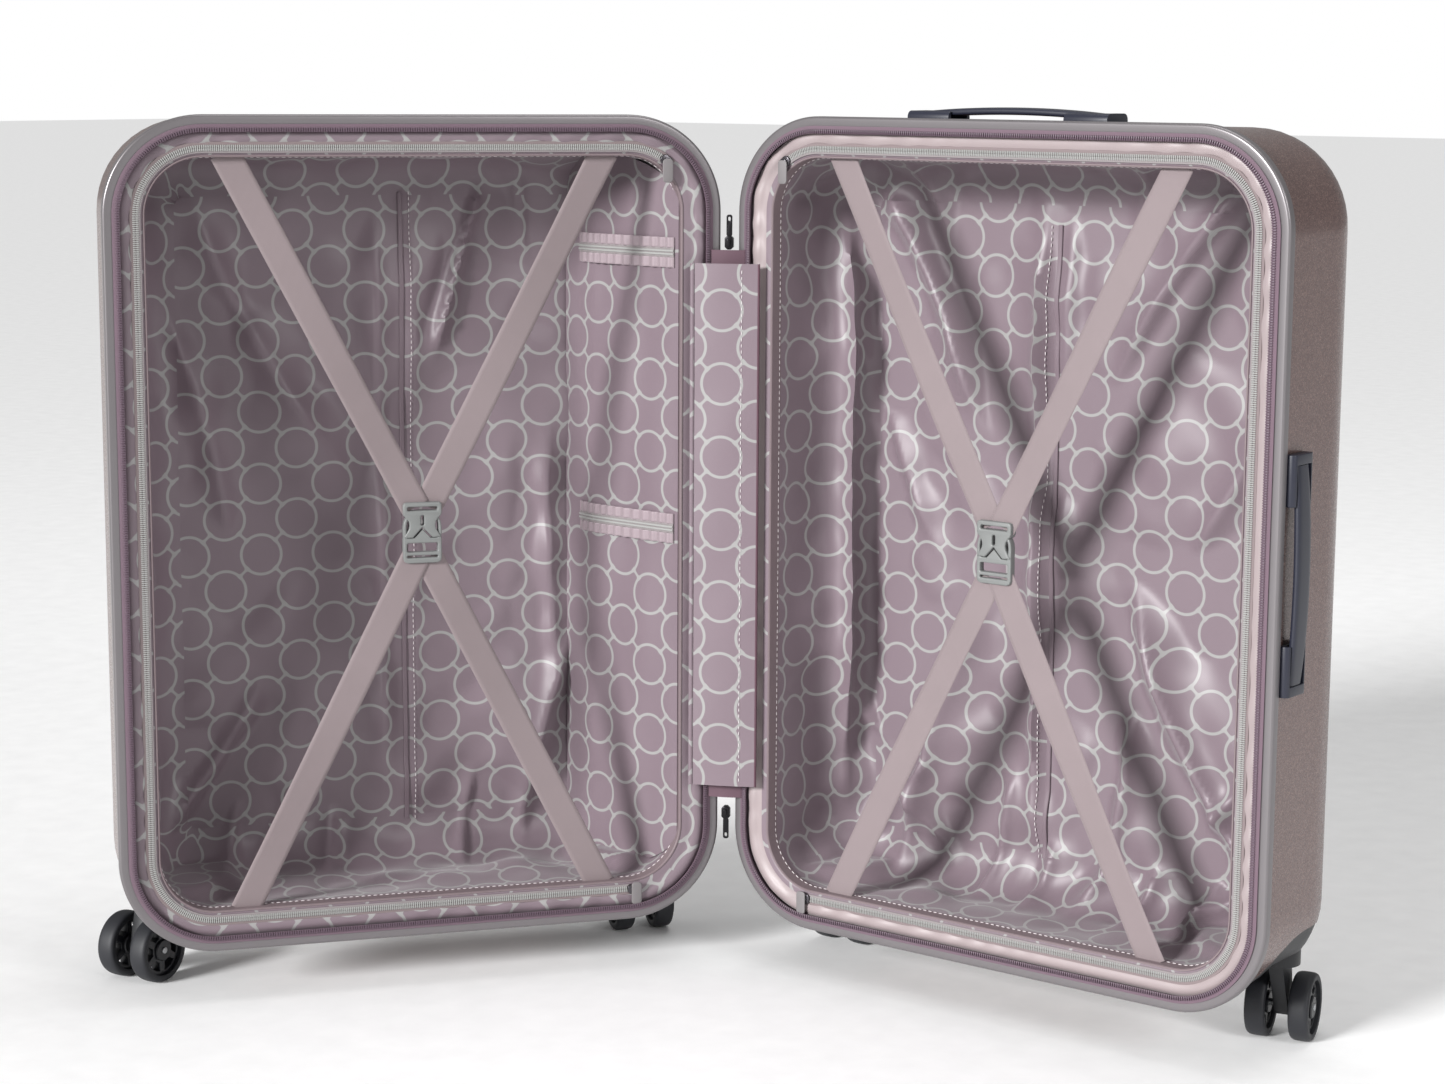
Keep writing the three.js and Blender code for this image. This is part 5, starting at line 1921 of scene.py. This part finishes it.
@dataclass
class Handles:
    """The two carry handles: arched grips between moulded end caps."""

    width: float = 21.6
    thickness: float = 6.0
    end_rise: float = 3.2
    arch: float = 3.8

    def grip(self, node: str) -> Surface:
        """An arched bar: a rounded section carried along, its lift falling off as 1 - u^2.

        Its long axis is the longer side of the frame piece's box; it stands out from the shell.

        Args:
            node: the frame node that it stands for.

        Returns:
            The bar, in metres.
        """
        low, high = (np.array(c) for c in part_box(node))
        size = high - low
        top = size[2] < size[0]
        length = size[0] if top else size[2]
        u = np.linspace(-1, 1, 61)
        rise = self.end_rise + self.arch * (1 - u**2) + self.thickness / 2
        wide = self.width - 4.2 * np.abs(u) ** 3
        thick = self.thickness - 0.4 * np.abs(u) ** 4
        section = superellipse(1.0, 1.0, 3.6, 28)
        along = u * length / 2
        base = (low[2] if top else low[0]) / MM - self.end_rise
        x, y = section[:, 0], section[:, 1]
        far = base + rise[:, None] + thick[:, None] * y
        across = wide[:, None] * x + 0 * far
        run = np.broadcast_to(along[:, None] / MM, far.shape)
        middle = (low + high) / 2 / MM
        if top:
            points = np.stack([middle[0] + run, middle[1] + across, far], axis=-1)
        else:
            points = np.stack([far, middle[1] + across, middle[2] + run], axis=-1)
        return grid(points * MM, close_columns=True, capped=True).outward()

    def build(self) -> None:
        """Makes both handles."""
        for place, ends in (("top", ("hinge", "outer")), ("side", ("upper", "lower"))):
            node = f"{place}_handle_grip"
            add_piece(f"{node}_moulded", self.grip(node), HANDLE, f"{place}_grip", "handle", node)
            for end in ends:
                mount = f"{place}_handle_mount_{end}"
                finish_piece(softened(mount, 1.6, HANDLE, 4), "back_half", "handle", mount)


@dataclass
class Caster:
    """A double caster: two spoked wheels with cast tyres on an axle below a moulded fork."""

    name: str
    joints: dict[str, dict]
    radius: float = 28.5
    width: float = 17.0

    def tyre(self) -> Surface:
        """A tread with rounded shoulders: the section |x|^4 + |y|^4 = 1 over its outer half."""
        turn = np.radians(np.linspace(-90, 90, 17))
        cos, sin = np.cos(turn), np.sin(turn)
        out = self.radius - 5.0 + 5.0 * np.sqrt(np.clip(cos, 0, 1))
        side = self.width / 2 * np.sign(sin) * np.abs(sin) ** 0.6
        profile = [*zip(out, side), (22.2, self.width / 2 - 0.6), (22.2, -self.width / 2 + 0.6)]
        return lathe(profile, 72)

    def disc(self) -> Surface:
        """The wheel's disc: six rounded windows between spokes, and a raised rim and hub."""
        turn = np.linspace(0, 2 * np.pi, 72, endpoint=False)
        outline = 22.4 * np.stack([np.cos(turn), np.sin(turn)], axis=1)
        windows = []
        for k in range(6):
            inner = np.radians(60 * k + np.linspace(-13, 13, 6))
            outer = np.radians(60 * k + np.linspace(21, -21, 10))
            near = 11.5 * np.stack([np.cos(inner), np.sin(inner)], axis=1)
            far = 18.6 * np.stack([np.cos(outer), np.sin(outer)], axis=1)
            windows.append(np.vstack([near, far]))
        bore = 3.2 * np.stack([np.cos(turn[::3]), np.sin(turn[::3])], axis=1)
        return flat_part(outline, [*windows, bore], self.width - 7.0, 0.8)

    def hub(self) -> Surface:
        """A stepped hub cap round the axle with a ring groove."""
        half = self.width / 2
        profile = [(3.2, 1.0 - half), (8.6, 1.0 - half), (9.4, 2.0 - half), (9.4, half - 2.0)]
        profile += [(8.6, half - 0.9), (6.6, half - 0.9), (6.2, half - 1.6), (5.6, half - 1.6)]
        profile += [(5.2, half - 0.7), (3.2, half - 0.7)]
        return lathe(profile, 48)

    def put_on(self, surface: Surface, node: str, axis: Sequence[float]) -> Surface:
        """Moves a surface made about the y axis on to a node's middle, with y along the axle.

        Args:
            surface: in millimetres.
            node: the frame node.
            axis: direction of the axle.

        Returns:
            The surface, in metres.
        """
        low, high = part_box(node)
        middle = (np.array(low) + np.array(high)) / 2
        y = np.array(axis) / np.linalg.norm(axis)
        z = np.array([0.0, 0.0, 1.0])
        x = np.cross(y, z)
        return surface.moved(lambda p: middle + (p @ np.array([x, y, z])) * MM).outward()

    def build(self) -> None:
        """Makes the fork, the axle and both wheels."""
        name = self.name
        for side in ("left", "right"):
            node = f"{name}_wheel_{side}"
            axis = self.joints[f"{name}_spin_{side}"]["axis"]
            parts = [
                ("tyre", self.tyre(), TYRE, [node]),
                ("disc", self.disc(), DISC, []),
                ("hub", self.hub(), DISC, []),
            ]
            for part, surface, finish, stands_for in parts:
                placed = self.put_on(surface, node, axis)
                add_piece(f"{node}_{part}", placed, finish, node, "wheel", *stands_for)
        fork, axle = f"{name}_fork", f"{name}_axle"
        finish_piece(softened(fork, 2.0, BLACK, 4), f"{name}_caster", "wheel_housing", fork)
        finish_piece(softened(axle, 0.5, STEEL), f"{name}_caster", "steel", axle)


@dataclass(frozen=True)
class Trolley:
    """The telescopic trolley and its fittings, which keep their frame pieces' forms."""

    bevel: float = 1.0

    def build(self) -> None:
        """Makes the grip, its button, the cup, the bottom bracket and the four tubes."""
        pieces = [
            ("trolley_grip", "trolley", "handle", 2.5 * self.bevel, BLACK),
            ("trolley_button", "trolley_button", "handle", self.bevel, PULL),
            ("trolley_cup", "back_half", "handle", 1.2 * self.bevel, BLACK),
            ("trolley_bottom_bracket", "back_half", "handle", 1.2 * self.bevel, BLACK),
        ]
        for side in ("hinge", "outer"):
            for part, body in (("outer", "back_half"), ("inner", "trolley")):
                tube = f"trolley_{part}_tube_{side}"
                pieces.append((tube, body, "aluminium", self.bevel, ALUMINIUM))
        for node, body, slot, bevel, finish in pieces:
            finish_piece(softened(node, bevel, finish), body, slot, node)


@dataclass
class MainSlider:
    """A slider of the main zip: an eight-sided body, its bridge, and a pull plate with a hole."""

    end: str
    turn: float
    width: float = 7.4
    length: float = 12.0

    def build(self) -> None:
        """Makes the slider in its frame piece's place, turned to face out of the opened case."""
        node = f"zip_slider_{self.end}"
        low, high = (np.array(corner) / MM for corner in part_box(node))
        up = 1 if self.end == "top" else -1
        foot = low[2] if up > 0 else high[2]
        middle = np.array([*((low + high) / 2)[:2], foot + up * self.length / 2])
        a, b, cut = self.width / 2, self.length / 2, 2.3
        side = [(a, cut - b), (a, b - cut), (a - cut, b)]
        outline = np.array([(a - cut, -b), *side, *[(-x, z) for x, z in side[::-1]], (cut - a, -b)])
        body = flat_part(outline, [], 6.0, 0.9)
        bridge = flat_part(rounded_rectangle(3.0, 6.4, 1.2, 3), [], 2.2, 0.5)
        reach = abs(high[2] - low[2]) - self.length + 1.5
        hole = rounded_rectangle(2.2, 3.4, 1.0, 3) + (0.0, up * (reach / 2 - 3.6))
        pull = flat_part(rounded_rectangle(5.0, reach, 1.8, 4), [hole], 2.0, 0.5)
        bridge = bridge.moved(lambda p: p + (0.0, -3.6, 0.0))
        pull = pull.moved(lambda p: p + (0.0, 0.0, up * (self.length + reach - 1.5) / 2))
        one = joined([body, bridge, pull])
        c, s = math.cos(self.turn), math.sin(self.turn)
        about_z = np.array([[c, s, 0.0], [-s, c, 0.0], [0.0, 0.0, 1.0]])
        placed = one.moved(lambda p: (p @ about_z + middle) * MM)
        body = f"slider_{self.end}"
        add_piece(f"{node}_plated", placed, BLACK_PLATE, body, "slider_metal", node)


def main() -> None:
    """Builds the suitcase, piece by piece, then the stage, the light and the camera."""
    logging.basicConfig(level=logging.INFO, format="%(message)s")
    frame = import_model()
    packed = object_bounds()
    case, back, front = read_case(frame)
    for half in (back, front):
        Shell(case, half).build()
        Rim(case, half).build()
        Lining(case, half, [Fold(*fold) for fold in FOLDS[half.name]]).build()
        LiningZip(case, half).build()
        MouthBinding(case, half).build()
        Straps(case, half).build()
    Flap(case, back, front).build()
    Pocket(case, front).build()
    Handles().build()
    joints = {j["name"]: j for j in frame["joints"]}
    for half in (back, front):
        for side in ("outer", "hinge"):
            Caster(f"{half.name}_{side}", joints).build()
    Trolley().build()
    for end in ("top", "bottom"):
        MainSlider(end, (math.pi + front.turn) / 2).build()
    make_stage()
    make_camera(back)
    boxes = {"cad": packed, "visual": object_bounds()}
    {k: [list(c) for c in v] for k, v in boxes.items()}


# The creases of each lining as (start, end, width, height, bow) on the rolled-out cloth.
FOLDS: dict[str, list[tuple]] = {
    "back": [
        ((38, 650), (44, 60), 27, 34.0, -6), ((60, 660), (58, 300), 9, 11.2, 6),
        ((237, 655), (241, 55), 9, 13.8), ((268, 655), (262, 300), 9, 5.0, -5),
        ((66, 660), (186, 420), 15, 13.8, 10), ((30, 610), (150, 300), 17, 11.2, -14),
        ((120, 690), (150, 560), 11, 8.8), ((440, 670), (300, 470), 13, 12.5, -8),
        ((490, 560), (372, 330), 16, 11.2, 12), ((345, 690), (330, 590), 10, 7.5),
        ((500, 30), (322, 340), 17, 18.8, 20), ((505, 130), (378, 10), 13, 15.0),
        ((470, 230), (400, 110), 12, 11.2, 8), ((294, 0), (336, 230), 14, 13.8, -9),
        ((104, 10), (206, 320), 17, 16.2, 14), ((40, 210), (176, 40), 14, 12.5, -6),
        ((60, 60), (150, 150), 12, 11.2), ((196, 10), (222, 150), 10, 10.0),
        ((250, 5), (262, 90), 9, 8.8), ((352, 0), (362, 84), 9, 10.0),
        ((404, 0), (420, 92), 10, 10.0),
    ],
    "front": [
        ((276, 655), (270, 60), 13, 8.8), ((243, 655), (243, 60), 7, 3.8),
        ((178, 650), (226, 480), 7, 11.2), ((440, 640), (300, 380), 19, 11.2, 12),
        ((470, 560), (400, 300), 16, 7.5, -10), ((480, 60), (372, 220), 14, 10.0, 8),
        ((420, 10), (400, 110), 11, 7.5), ((150, 30), (96, 240), 14, 13.8, -8),
        ((122, 450), (112, 170), 12, 8.8, 4), ((330, 5), (320, 90), 10, 6.2),
        ((210, 5), (190, 120), 10, 7.5), ((150, 660), (140, 560), 9, 6.2),
    ],
}


def make_stage() -> None:
    """A wide pale floor and soft, even studio light."""
    corners = np.array([[(-30, -30, 0), (30, -30, 0)], [(-30, 30, 0), (30, 30, 0)]], float)
    floor = make_object("floor", grid(corners), Finish("pale_floor", "#fcfcfc", 0.8, relief=0.0))
    floor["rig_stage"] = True
    scene = bpy.context.scene
    scene.view_settings.view_transform = "Standard"
    world = bpy.data.worlds.new("studio")
    world.use_nodes = True
    tree = world.node_tree
    path = add_node(tree, "LightPath")
    reach = {"Value": path.outputs["Is Camera Ray"], "To Min": 0.33, "To Max": 1.0}
    seen = add_node(tree, "MapRange", reach)
    tree.nodes["Background"].inputs["Color"].default_value = (1, 1, 1, 1)
    tree.links.new(seen.outputs["Result"], tree.nodes["Background"].inputs["Strength"])
    scene.world = world
    lamps = [
        ("key", "SUN", (-0.5, -4.0, 1.75), 4.6, 0.24),
        ("fill", "AREA", (3.4, -0.8, 1.9), 40.0, 1.2),
        ("top", "AREA", (0.2, 0.6, 3.4), 30.0, 2.0),
    ]
    for name, kind, place, power, size in lamps:
        light = bpy.data.lights.new(name, kind)
        light.energy = power
        setattr(light, "angle" if kind == "SUN" else "size", size)
        lamp = bpy.data.objects.new(name, light)
        lamp.location = place
        aim = Vector((0.0, 0.05, 0.4)) - Vector(place)
        lamp.rotation_euler = aim.to_track_quat("-Z", "Y").to_euler()
        scene.collection.objects.link(lamp)


def make_camera(back: Half) -> None:
    """A camera at chest height in front of the outer side, looking a little down into the case."""
    data = bpy.data.cameras.new("camera")
    data.sensor_width, data.lens = 36.0, 73.8
    camera = bpy.data.objects.new("camera", data)
    heading, pitch, roll = math.radians(37.75), math.radians(9.16), math.radians(0.33)
    place = (back.hinge[0] + 1.5506, back.hinge[1] - 2.0098, back.bottom + 0.7422)
    turn = (
        Matrix.Rotation(heading, 4, "Z")
        @ Matrix.Rotation(math.pi / 2 - pitch, 4, "X")
        @ Matrix.Rotation(roll, 4, "Z")
    )
    camera.matrix_world = Matrix.Translation(place) @ turn
    bpy.context.scene.collection.objects.link(camera)
    bpy.context.scene.camera = camera


if __name__ == "__main__":
    main()
